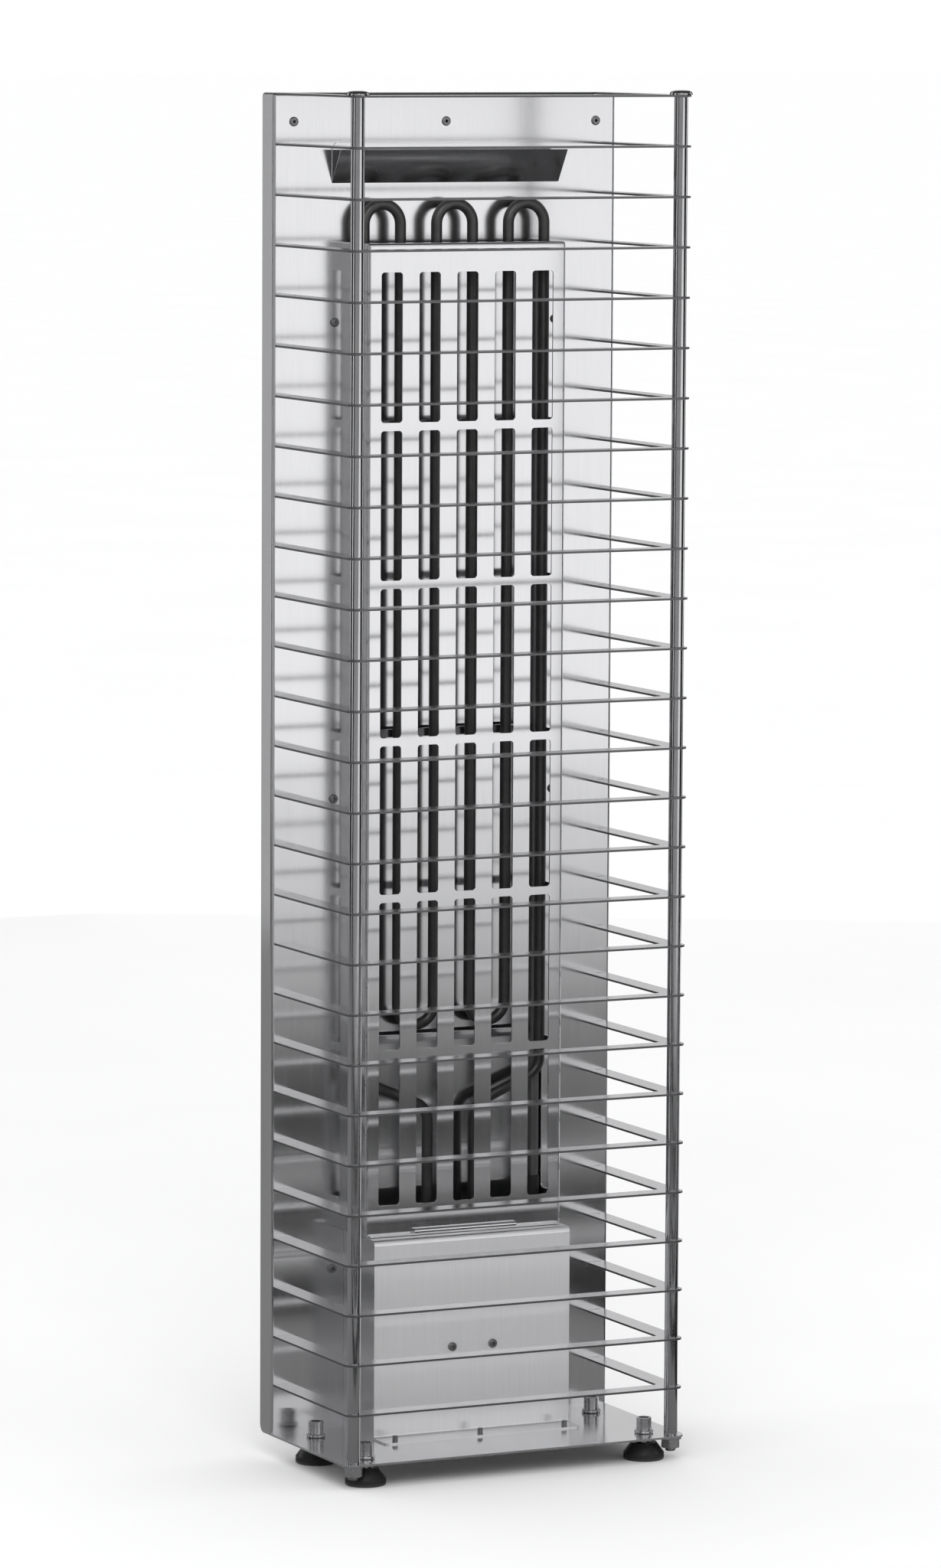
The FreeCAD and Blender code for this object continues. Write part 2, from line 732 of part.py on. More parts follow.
def build_spacers():
    """The tubes on the posts that hold the strips apart."""
    body = new_body("PostSpacers")
    for name, sign in (("Left", "-"), ("Right", "")):
        spot = (f"{sign}{POST_X}", "-post_reach")

        def ring(sketch, spot=spot):
            draw_circle(sketch, spot, "spacer_diameter")
            draw_circle(sketch, spot, POST_HOLE)

        tube = prism(body, f"{name}Tube", "z", ("0", "spacer_length"), ring)
        repeat(body, f"{name}Tubes", tube, "Z_Axis", PITCH, "strip_count")
    return keep(body, "post_spacers")


def build_post_fasteners():
    """A washer and a hexagon nut under the base plate on each post."""
    things = []
    for side, sign in (("Left", "-"), ("Right", "")):
        x, y = f"{sign}{POST_X}", "-post_reach"
        washer_low = "(-panel_sheet - washer_sheet)"
        washer = cylinder(f"{side}Washer", "washer_diameter", "washer_sheet", x, y, washer_low)
        washer_bore = cylinder(f"{side}WasherBore", POST_HOLE, "washer_sheet", x, y, washer_low)
        things.append(cut_out(f"{side}WasherRing", washer, washer_bore))
        nut_low = f"({washer_low} - nut_height)"
        crown = cylinder(f"{side}NutCrown", "nut_flats * nut_crown", "nut_height", x, y, nut_low)
        crown_edge = doc.addObject("Part::Fillet", f"{side}NutRounded")
        crown_edge.Base = crown
        doc.recompute()
        rims = [index for index, edge in enumerate(crown.Shape.Edges, start=1) if edge.Closed]
        crown_edge.Edges = [(index, number("nut_edge"), number("nut_edge")) for index in rims]
        corners = place(hexagon(f"{side}NutHexagon", "nut_flats", "nut_height"), x, y, nut_low)
        body = doc.addObject("Part::Common", f"{side}NutBody")
        body.Base = corners
        body.Tool = crown_edge
        bore = cylinder(f"{side}NutBore", "post_diameter + 2 * thread_clearance", "nut_height",
                        x, y, nut_low)
        things.append(cut_out(f"{side}Nut", body, bore))
    return keep(group("PostFasteners", things), "post_fasteners")


# ---------------------------------------------------------------- feet

FEET = {"front_left": ("-", "foot_front"), "front_right": ("", "foot_front"),
        "back_left": ("-", "foot_back"), "back_right": ("", "foot_back")}


def build_inserts():
    """The threaded inserts in the base plate that the feet screw into."""
    body = new_body("FootInserts")
    for name, (sign, reach) in FEET.items():
        spot = (f"{sign}{FOOT_X}", f"-{reach}")
        word = name.title().replace("_", "")
        rod(body, f"{word}Barrel", "z", (INSERT_BOTTOM, "insert_height"), spot, "insert_diameter")
        rod(body, f"{word}Flange", "z", (INSERT_BOTTOM, "-panel_sheet"), spot, "insert_flange")
        rod(body, f"{word}Collar", "z", ("0", "insert_collar_height"), spot, "insert_collar")
    round_rims(body, "CollarEdges", "insert_collar_height * 0.45",
               lambda c, r: near(r, "insert_collar / 2"))
    for name, (sign, reach) in FEET.items():
        word = name.title().replace("_", "")
        rod(body, f"{word}Bore", "z", (f"{INSERT_BOTTOM} - {PAST}", f"insert_height + {PAST}"),
            (f"{sign}{FOOT_X}", f"-{reach}"), "foot_stud + 2 * thread_clearance", cut=True)
    return keep(body, "foot_inserts")


def build_feet():
    """Four feet, each a threaded stud with a hexagon and a moulded pad."""
    socket = f"({FOOT_PAD_RISE} - foot_socket)"
    for name, (sign, reach) in FEET.items():
        word = name.title().replace("_", "")
        x, y = f"{sign}{FOOT_X}", f"-{reach}"
        shank = cylinder(f"{word}Shank", "foot_stud", f"foot_stud_rise - {socket}", x, y, socket)
        nut = place(hexagon(f"{word}Hexagon", "nut_flats", "foot_nut_height"), x, y, FOOT_PAD_RISE)
        keep(fuse(f"{word}Stud", [shank, nut]), f"foot_stud_{name}")

        pad = new_body(f"{word}Pad")
        spot = (x, y)
        rod(pad, "Rim", "z", ("-floor_gap", "foot_rim - floor_gap"), spot, "foot_pad")
        cone = new_sketch(pad, "TopCircle", "z", FOOT_PAD_RISE)
        draw_circle(cone, spot, "foot_pad_top")
        foot_circle = new_sketch(pad, "RimCircle", "z", "foot_rim - floor_gap")
        draw_circle(foot_circle, spot, "foot_pad")
        loft = pad.newObject("PartDesign::AdditiveLoft", "Cone")
        loft.Profile = foot_circle
        loft.Sections = [cone]
        pad.Tip = loft
        round_rims(pad, "RimEdge", "foot_rim / 5",
                   lambda c, r: near(r, "foot_pad / 2") and near(c.z, "-floor_gap"))
        rod(pad, "Socket", "z", (socket, f"{FOOT_PAD_RISE} + {PAST}"), spot, "foot_stud", cut=True)
        keep(pad, f"foot_pad_{name}")


# ---------------------------------------------------------------- element housing


def draw_slot(sketch, across, low):
    """Draw an upright slot with rounded corners, centred across and starting at a height."""
    left, right = f"({across}) - slot_width / 2", f"({across}) + slot_width / 2"
    high = f"({low}) + slot_height"
    x0, x1, y0, y1, r = (number(item) for item in (left, right, low, high, "slot_radius"))
    ends = [((x0 + r, y0), (x1 - r, y0)), ((x1, y0 + r), (x1, y1 - r)),
            ((x1 - r, y1), (x0 + r, y1)), ((x0, y1 - r), (x0, y0 + r))]
    centres = [(x1 - r, y0 + r), (x1 - r, y1 - r), (x0 + r, y1 - r), (x0 + r, y0 + r)]
    up = FreeCAD.Vector(0, 0, 1)
    for quarter, (ends_of_line, centre) in enumerate(zip(ends, centres)):
        start, finish = (FreeCAD.Vector(*point, 0) for point in ends_of_line)
        sketch.addGeometry(Part.LineSegment(start, finish))
        turn = math.pi / 2 * (quarter - 1)
        circle = Part.Circle(FreeCAD.Vector(*centre, 0), up, r)
        sketch.addGeometry(Part.ArcOfCircle(circle, turn, turn + math.pi / 2))
    for quarter in range(4):
        line, arc, following = 2 * quarter, 2 * quarter + 1, (2 * quarter + 2) % 8
        sketch.addConstraint(Sketcher.Constraint("Tangent", line, 2, arc, 1))
        sketch.addConstraint(Sketcher.Constraint("Tangent", arc, 2, following, 1))
        sketch.addConstraint(Sketcher.Constraint("Vertical" if quarter % 2 else "Horizontal", line))
        if quarter:
            sketch.addConstraint(Sketcher.Constraint("Equal", 1, arc))
    index = sketch.addConstraint(Sketcher.Constraint("Radius", 1, r))
    bind(sketch, f"Constraints[{index}]", "slot_radius")
    for kind, edge, expression in (("DistanceY", 0, low), ("DistanceX", 2, right),
                                   ("DistanceY", 4, high), ("DistanceX", 6, left)):
        index = sketch.addConstraint(Sketcher.Constraint(kind, -1, 1, edge, 1, number(expression)))
        bind(sketch, f"Constraints[{index}]", expression)


def build_housing():
    """The slotted sheet housing round the element, open at the top inside its lip."""
    half = "housing_width / 2"
    bottom, top = HOUSING_BOTTOM, HOUSING_TOP
    front = "-housing_depth"
    body = new_body("ElementHousing")
    block(body, "Outer", (f"-{half}", half), (front, "0"), (bottom, top))
    round_edges(body, "FrontBends", "housing_bend", "z", lambda p: near(p.y, front))
    round_edges(body, "TopBend", "housing_bend", "x", lambda p: near(p.y, front) and near(p.z, top))
    inner = f"({half} - housing_sheet)"
    block(body, "Inside", (f"-{inner}", inner), (f"{front} + housing_sheet", PAST),
          (f"{bottom} - {PAST}", f"{top} - housing_sheet"), cut=True)
    block(body, "TopOpening", (f"-{inner}", inner), (f"{front} + housing_lip", PAST),
          (f"{top} - housing_sheet - {PAST}", f"{top} + {PAST}"), cut=True)
    slot = prism(body, "FrontSlot", "y", (f"{front} - {PAST}", f"{front} + housing_sheet + {PAST}"),
                 lambda sketch: draw_slot(sketch, "-(slot_columns - 1) / 2 * slot_spacing_across", SLOT_LOW),
                 cut=True)
    repeat(body, "FrontSlots", slot, "X_Axis", "slot_spacing_across", "slot_columns",
           ("Z_Axis", "slot_spacing_up", "slot_rows"))
    side_slot = prism(body, "SideSlot", "x", (f"-{half} - {PAST}", f"{half} + {PAST}"),
                      lambda sketch: draw_slot(sketch, "-side_slot_reach", SLOT_LOW), cut=True)
    repeat(body, "SideSlots", side_slot, "Z_Axis", "slot_spacing_up", "slot_rows")
    edge = f"({front} - hook_reach)"
    block(body, "FootRim", (f"-({half} - housing_bend)", f"{half} - housing_bend"),
          (edge, f"{front} + housing_sheet"), (bottom, f"{bottom} + housing_sheet"))
    block(body, "Hook", ("-hook_width / 2", "hook_width / 2"), (edge, f"{front} + housing_sheet / 2"),
          (bottom, f"{bottom} + hook_height"))
    round_edges(body, "HookRoll", "hook_height * 0.45", "x",
                lambda p: near(p.y, edge) and near(p.z, f"{bottom} + hook_height"))
    return keep(body, "element_housing")


# ---------------------------------------------------------------- heating element


def rounded_wire(points, radius):
    """A wire through points, with every corner but the first and last replaced by a tangent arc."""
    edges = []
    start = points[0]
    for before, corner, after in zip(points, points[1:], points[2:]):
        arriving = (corner - before).normalize()
        leaving = (after - corner).normalize()
        turn = arriving.getAngle(leaving)
        setback = radius * math.tan(turn / 2)
        enter, leave = corner - arriving * setback, corner + leaving * setback
        inward = (leaving - arriving).normalize()
        middle = corner + inward * (radius / math.cos(turn / 2) - radius)
        edges.append(Part.LineSegment(start, enter).toShape())
        edges.append(Part.Arc(enter, middle, leave).toShape())
        start = leave
    edges.append(Part.LineSegment(start, points[-1]).toShape())
    return Part.Wire(edges)


def tube_along(points, radius, diameter):
    """A round bar along a rounded wire, with its volume compared with section times length."""
    wire = rounded_wire(points, radius)
    section = Part.Wire(Part.Circle(points[0], points[1] - points[0], diameter / 2).toShape())
    solid = wire.makePipeShell([section], True, False)
    expected = math.pi * diameter ** 2 / 4 * wire.Length
    if abs(solid.Volume - expected) > 0.01 * expected:
        raise RuntimeError("a tube's volume doesn't match its length")
    return solid


def build_element():
    """One tubular element bent into a row of upright legs, with its ends brought together below."""
    legs = SIZES["leg_count"]
    spacing, bend = number("leg_spacing"), number(LEG_BEND)
    diameter = number("element_diameter")
    reach = -number(ELEMENT_REACH)
    high = number("element_top") - diameter / 2
    low = number("element_bottom") + diameter / 2
    knee, tail = number("knee_height"), number("tail_height")
    tail_x, end = number("tail_spacing") / 2, number("tail_end")
    first = -spacing * (legs - 1) / 2
    corners = [(-tail_x, end), (-tail_x, tail), (first, knee)]
    for leg in range(legs - 1):
        x = first + spacing * leg
        level = low if leg % 2 else high
        corners += [(x, level), (x + spacing, level)]
    corners += [(-first, knee), (tail_x, tail), (tail_x, end)]
    points = [FreeCAD.Vector(x, reach, z) for x, z in corners]
    element = doc.addObject("Part::Feature", "HeatingElement")
    # the half-turns' two arcs stay just under half the spacing, so a short straight run joins them
    element.Shape = tube_along(points, bend * 0.9995, diameter)
    return keep(element, "heating_element")


def build_bushings():
    """The two threaded fittings that hold the element's ends in the chassis."""
    body = new_body("ElementBushings")
    plate = CHASSIS_TOP
    under = f"({plate} - cover_sheet)"
    low = f"({under} - bushing_thread_length)"
    for name, sign in (("Left", "-"), ("Right", "")):
        spot = (f"{sign}tail_spacing / 2", f"-{ELEMENT_REACH}")
        rod(body, f"{name}Collar", "z", (plate, f"{plate} + bushing_height"), spot, "bushing_diameter")
        rod(body, f"{name}Thread", "z", (low, plate), spot, "bushing_thread")
        rod(body, f"{name}Nut", "z", (f"{under} - bushing_nut_height", under), spot, "bushing_nut")
        rod(body, f"{name}Bore", "z", (f"{low} - {PAST}", f"{plate} + bushing_height + {PAST}"), spot,
            "element_diameter + 2 * bushing_clearance", cut=True)
    return keep(body, "element_bushings")


def build_brackets():
    """Three bars behind the element, with ends folded back to the panel."""
    front = f"({ELEMENT_REACH} - element_diameter / 2 - bracket_clearance)"
    low = "(bracket_start - bracket_height / 2)"
    span = (low, f"{low} + bracket_height")
    body = new_body("ElementBrackets")
    outline = [("-bracket_left", "0"), ("-bracket_left", f"-{front}"), ("bracket_right", f"-{front}"),
               ("bracket_right", "0"), ("bracket_right - bracket_sheet", "0"),
               ("bracket_right - bracket_sheet", f"bracket_sheet - {front}"),
               ("bracket_sheet - bracket_left", f"bracket_sheet - {front}"),
               ("bracket_sheet - bracket_left", "0")]
    bar = prism(body, "Bar", "z", span, lambda sketch: draw_outline(sketch, outline))
    repeat(body, "Bars", bar, "Z_Axis", "bracket_spacing", "bracket_count")
    return keep(body, "element_brackets")


def build_sensor():
    """The upright tube that shields the limiter's bulb, and the sleeve at its foot."""
    spot = ("sensor_side", "-sensor_reach")
    foot = CHASSIS_TOP
    tube = new_body("SensorTube")
    rod(tube, "Outer", "z", (f"{foot} + sleeve_height", "sensor_top"), spot, "sensor_diameter")
    rod(tube, "Bore", "z", (f"{foot} + sleeve_height - {PAST}", "sensor_top - sensor_wall"), spot,
        "sensor_diameter - 2 * sensor_wall", cut=True)
    round_rims(tube, "Tip", "sensor_wall", lambda c, r: near(c.z, "sensor_top"))
    keep(tube, "sensor_tube")
    sleeve = new_body("SensorSleeve")
    rod(sleeve, "Body", "z", (foot, f"{foot} + sleeve_height"), spot, "sleeve_diameter")
    rod(sleeve, "Bore", "z", (f"{foot} - {PAST}", f"{foot} + sleeve_height + {PAST}"), spot,
        "sensor_diameter / 2", cut=True)
    keep(sleeve, "sensor_sleeve")


# ---------------------------------------------------------------- terminal box


def build_chassis():
    """The inverted channel inside the terminal box that carries the element's ends."""
    half = CHASSIS_HALF
    front = "(cover_reach - cover_sheet - chassis_gap)"
    body = new_body("TerminalChassis")
    block(body, "Outer", (f"-{half}", half), (f"-{front}", "0"), ("0", CHASSIS_TOP))
    inner = f"({half} - cover_sheet)"
    block(body, "Inside", (f"-{inner}", inner), (f"-{front} - {PAST}", PAST),
          (f"-{PAST}", f"{CHASSIS_TOP} - cover_sheet"), cut=True)
    through = (f"{CHASSIS_TOP} - cover_sheet - {PAST}", f"{CHASSIS_TOP} + {PAST}")
    for name, sign in (("Left", "-"), ("Right", "")):
        rod(body, f"{name}BushingHole", "z", through, (f"{sign}tail_spacing / 2", f"-{ELEMENT_REACH}"),
            "bushing_thread + hole_play", cut=True)
    rod(body, "SensorHole", "z", through, ("sensor_side", "-sensor_reach"), "sensor_diameter / 2", cut=True)
    block(body, "ScrewTab", ("-cover_screw_spacing", "cover_screw_spacing"),
          (f"-{front}", f"cover_sheet - {front}"), ("cover_screw_height - screw_tab_drop", CHASSIS_TOP))
    for name, sign in (("Left", "-"), ("Right", "")):
        rod(body, f"{name}ScrewHole", "y", (f"-{front} - {PAST}", f"cover_sheet - {front} + {PAST}"),
            (f"{sign}cover_screw_spacing / 2", "cover_screw_height"), "screw_thread + hole_play / 2",
            cut=True)
    return keep(body, "terminal_chassis")


def build_cover():
    """The terminal box's cover: front, top edge, sides, and the flange screwed to the base plate."""
    half = "cover_width / 2"
    front = "-cover_reach"
    inner = f"({half} - cover_sheet)"
    body = new_body("TerminalCover")
    block(body, "Outer", (f"-{half}", half), (front, "-cover_gap"), ("0", "cover_height"))
    block(body, "Flange", (f"-{half}", half), (f"{front} - cover_flange", front), ("0", "cover_sheet"))
    round_edges(body, "TopBend", "cover_bend", "x",
                lambda p: near(p.y, front) and near(p.z, "cover_height"))
    round_edges(body, "FlangeBend", "cover_sheet * 1.5", "x",
                lambda p: near(p.y, front) and near(p.z, "cover_sheet"))
    round_edges(body, "FlangeCorners", "cover_bend", "z", lambda p: near(p.y, f"{front} - cover_flange"))
    block(body, "Inside", (f"-{inner}", inner), (f"{front} + cover_sheet", PAST),
          (f"-{PAST}", "cover_height - cover_sheet"), cut=True)
    block(body, "TopOpening", (f"-{inner}", inner), (f"{front} + cover_top_depth", PAST),
          (f"cover_height - cover_sheet - {PAST}", f"cover_height + {PAST}"), cut=True)
    for name, sign in (("Left", "-"), ("Right", "")):
        rod(body, f"{name}ScrewHole", "y", (f"{front} - {PAST}", f"{front} + cover_sheet + {PAST}"),
            (f"{sign}cover_screw_spacing / 2", "cover_screw_height"), "screw_thread + hole_play", cut=True)
    for index, side in enumerate(BASE_SCREW_SIDES):
        rod(body, f"BaseScrewHole{index}", "z", (f"-{PAST}", f"cover_sheet + {PAST}"),
            (side, "-base_screw_reach"),
            "screw_thread + hole_play", cut=True)
    return keep(body, "terminal_cover")


def build_cover_screws():
    """Two screws in the cover's face and three through the base plate into its flange."""
    face_screw = pan_screw("CoverScrew", "cover_screw_length")
    face_places = [(f"{sign}cover_screw_spacing / 2", "-cover_reach", "cover_screw_height")
                   for sign in ("-", "")]
    base_screw = pan_screw("BaseScrew", "panel_sheet + base_screw_tip")
    base_places = [(side, "-base_screw_reach", "-panel_sheet") for side in BASE_SCREW_SIDES]
    links = copies("CoverScrewAt", face_screw, face_places, FACING_FRONT)
    links += copies("BaseScrewAt", base_screw, base_places, FACING_DOWN)
    return keep(group("CoverScrews", links), "terminal_cover_screws")


def build_terminal_block():
    """The row of supply terminals that stands on the base plate."""
    left, right = "block_side - block_length / 2", "block_side + block_length / 2"
    rear, face = "block_depth / 2 - block_reach", "-block_depth / 2 - block_reach"
    pole = "(block_length / block_poles)"
    middle = f"{left} + {pole} / 2"
    above = f"block_height + {PAST}"
    body = new_body("TerminalBlock")
    block(body, "Block", (left, right), (face, rear), ("0", "block_height"))
    well = rod(body, "ScrewWell", "z", ("block_height - well_depth", above),
               (middle, "-block_reach - block_depth / 4"), "well_diameter", cut=True)
    repeat(body, "ScrewWells", well, "X_Axis", pole, "block_poles")
    entry = rod(body, "WireEntry", "z", ("block_height - entry_depth", above),
                (middle, "block_depth / 4 - block_reach"), "entry_diameter", cut=True)
    repeat(body, "WireEntries", entry, "X_Axis", pole, "block_poles")
    wall = f"{left} + {pole}"
    groove = block(body, "Groove", (f"{wall} - groove_width / 2", f"{wall} + groove_width / 2"),
                   (f"{face} - {PAST}", f"{rear} + {PAST}"), ("block_height - groove_depth", above), cut=True)
    repeat(body, "Grooves", groove, "X_Axis", pole, "block_poles - 1")
    return keep(body, "terminal_block")


def build_limiter():
    """The overheat limiter on the base plate, and its reset button below."""
    x, y = "limiter_side", "-limiter_reach"
    spot = (x, y)
    nose_low = "(-panel_sheet - limiter_nose_show)"
    tip = f"{nose_low} - button_show"
    body = new_body("LimiterBody")
    block(body, "Case", (f"{x} - limiter_width / 2", f"{x} + limiter_width / 2"),
          (f"{y} - limiter_depth / 2", f"{y} + limiter_depth / 2"), ("0", "limiter_height"))
    round_edges(body, "CaseCorners", "limiter_corner", "z", lambda p: True)
    rod(body, "Nose", "z", (nose_low, "0"), spot, "limiter_nose")
    rod(body, "Bore", "z", (f"{nose_low} - {PAST}", "button_bore_top"), spot,
        "button_diameter + 2 * button_clearance", cut=True)
    rod(body, "Chamber", "z", ("button_chamber_floor", "button_chamber_floor + button_chamber_height"), spot,
        "button_flange + 2 * button_clearance", cut=True)
    keep(body, "limiter_body")
    button = new_body("LimiterButton")
    rod(button, "Pin", "z", (tip, "button_rest"), spot, "button_diameter")
    rod(button, "Flange", "z", ("button_rest", "button_rest + button_flange_height"), spot, "button_flange")
    round_rims(button, "Tip", "button_edge", lambda c, r: near(c.z, tip))
    keep(button, "limiter_button")


def build_gland():
    """The supply cable's gland through the back panel: thread and nose outside, locknut inside."""
    spot = ("gland_side", "gland_height")
    body = new_body("CableGland")
    waist, tip = "panel_sheet + gland_nose * 0.45", "panel_sheet + gland_nose"
    inner_end = "-gland_locknut - gland_thread_show"
    rod(body, "Thread", "y", (inner_end, "panel_sheet"), spot, "gland_thread")
    rod(body, "Locknut", "y", ("-gland_locknut - gland_locknut_gap", "-gland_locknut_gap"), spot,
        "gland_flats + gland_step")
    rod(body, "Collar", "y", ("panel_sheet", waist), spot, "gland_flats")
    rod(body, "Nose", "y", (waist, tip), spot, "gland_flats - gland_step")
    round_rims(body, "NoseEdge", "gland_edge", lambda c, r: near(c.y, tip))
    rod(body, "Bore", "y", (f"{inner_end} - {PAST}", f"{tip} + {PAST}"), spot, "gland_bore", cut=True)
    return keep(body, "cable_gland")


def build_leads():
    """Two leads from the element's ends down to the terminal block."""
    start_y = -number(ELEMENT_REACH)
    end_y = number("block_depth / 4 - block_reach")
    top, end = number("tail_end"), number("block_height - lead_in")
    left, pole = number("block_side - block_length / 2"), number("block_length / block_poles")
    level, fall, stagger = number("lead_level"), number("lead_fall"), number("lead_stagger")
    solids = []
    for sign, pole_number in ((-1, 1), (1, 4)):
        start_x = sign * number("tail_spacing") / 2
        end_x = left + pole * (pole_number + 0.5)
        upper = level + stagger * sign
        lower = level - fall + stagger / 2 * sign
        corners = [(start_x, start_y, top), (start_x, start_y, upper),
                   (end_x, end_y, lower), (end_x, end_y, end)]
        points = [FreeCAD.Vector(*corner) for corner in corners]
        solids.append(tube_along(points, number("lead_bend"), number("lead_diameter")))
    leads = doc.addObject("Part::Feature", "InternalLeads")
    leads.Shape = Part.makeCompound(solids)
    return keep(leads, "internal_leads")


def build():
    """Build every sub-part, check it and write it to its own file."""
    build_back_panel()
    build_hanging_rail()
    build_rivets()
    build_heat_shield()
    build_shield_screws()
    build_deflector()
    build_cage()
    build_posts()
    build_spacers()
    build_post_fasteners()
    build_inserts()
    build_feet()
    build_housing()
    build_element()
    build_bushings()
    build_brackets()
    build_sensor()
    build_chassis()
    build_cover()
    build_cover_screws()
    build_terminal_block()
    build_limiter()
    build_gland()
    build_leads()
    doc.recompute()

    for thing in doc.Objects:
        for state in ("Invalid", "Error"):
            if state in thing.State:
                raise RuntimeError(f"{thing.Name} is {state}")
    os.makedirs("parts", exist_ok=True)
    for thing in subparts:
        if thing.Shape.isNull() or not thing.Shape.isValid():
            raise RuntimeError(f"{thing.Label} has no valid shape")
        thing.Shape.exportStep(os.path.join("parts", thing.Label + ".step"))
    print(f"{len(subparts)} sub-parts written")


build()
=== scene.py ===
import logging
import math
from collections.abc import Callable, Iterable
from dataclasses import dataclass
from enum import Enum
from typing import ClassVar

import bpy
from mathutils import Matrix, Vector


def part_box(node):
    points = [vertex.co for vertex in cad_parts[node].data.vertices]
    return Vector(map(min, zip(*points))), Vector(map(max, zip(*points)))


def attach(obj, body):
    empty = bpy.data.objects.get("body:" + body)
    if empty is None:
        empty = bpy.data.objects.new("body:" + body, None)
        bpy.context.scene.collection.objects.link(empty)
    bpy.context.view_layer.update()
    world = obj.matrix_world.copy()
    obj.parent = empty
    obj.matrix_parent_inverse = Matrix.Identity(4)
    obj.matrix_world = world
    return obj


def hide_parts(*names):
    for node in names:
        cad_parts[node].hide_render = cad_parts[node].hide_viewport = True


# An electric tower sauna heater without its stones, in a pale studio. Metres, +Z up, front
# towards -Y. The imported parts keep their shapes; the threaded and ribbed ones get finer
# meshes that stand for them, and every surface gets a finish of its own.

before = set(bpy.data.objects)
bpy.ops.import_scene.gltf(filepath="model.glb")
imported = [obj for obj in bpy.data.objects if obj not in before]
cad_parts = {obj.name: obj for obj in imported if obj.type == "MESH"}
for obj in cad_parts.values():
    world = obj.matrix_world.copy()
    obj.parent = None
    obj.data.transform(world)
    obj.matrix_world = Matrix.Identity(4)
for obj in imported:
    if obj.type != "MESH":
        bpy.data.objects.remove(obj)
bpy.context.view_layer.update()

MM = 0.001
TURN = 2 * math.pi
SIDES = ("left", "right")
FEET = ("front_left", "front_right", "back_left", "back_right")
MERGE_DISTANCE = 0.002 * MM
FOLD_ANGLE = 0.7
LOG = logging.getLogger("sauna_heater")

Colour = tuple[float, float, float]
Triple = tuple[float, float, float]
Ring = list[Vector]


# ------------------------------------------------------------------ shader graphs


class Wire:
    """A shader socket that does arithmetic: each expression on it adds its Math node."""

    def __init__(self, graph: "Graph", socket: bpy.types.NodeSocket) -> None:
        """Wrap a socket of a graph."""
        self.graph = graph
        self.socket = socket

    def _math(self, operation: str, *terms: "Wire | float") -> "Wire":
        """Add a Math node on some terms."""
        node = self.graph.node("ShaderNodeMath", {"operation": operation}, dict(enumerate(terms)))
        return Wire(self.graph, node.outputs[0])

    def __add__(self, other: "Wire | float") -> "Wire":
        """The sum of this and another value."""
        return self._math("ADD", self, other)

    def __radd__(self, other: float) -> "Wire":
        """The sum of a number and this."""
        return self._math("ADD", other, self)

    def __sub__(self, other: "Wire | float") -> "Wire":
        """This less another value."""
        return self._math("SUBTRACT", self, other)

    def __rsub__(self, other: float) -> "Wire":
        """A number less this."""
        return self._math("SUBTRACT", other, self)

    def __mul__(self, other: "Wire | float") -> "Wire":
        """This times another value."""
        return self._math("MULTIPLY", self, other)

    def __rmul__(self, other: float) -> "Wire":
        """A number times this."""
        return self._math("MULTIPLY", other, self)

    def __abs__(self) -> "Wire":
        """The size of this without its sign."""
        return self._math("ABSOLUTE", self)

    def clamped(self, low: float, high: float) -> "Wire":
        """This held between two numbers."""
        return self._math("MINIMUM", self._math("MAXIMUM", self, low), high)

    def over(self, edge: float, width: float) -> "Wire":
        """A mask that rises from 0 to 1 across a band that starts at an edge."""
        return ((self - edge) * (1 / width)).clamped(0.0, 1.0)


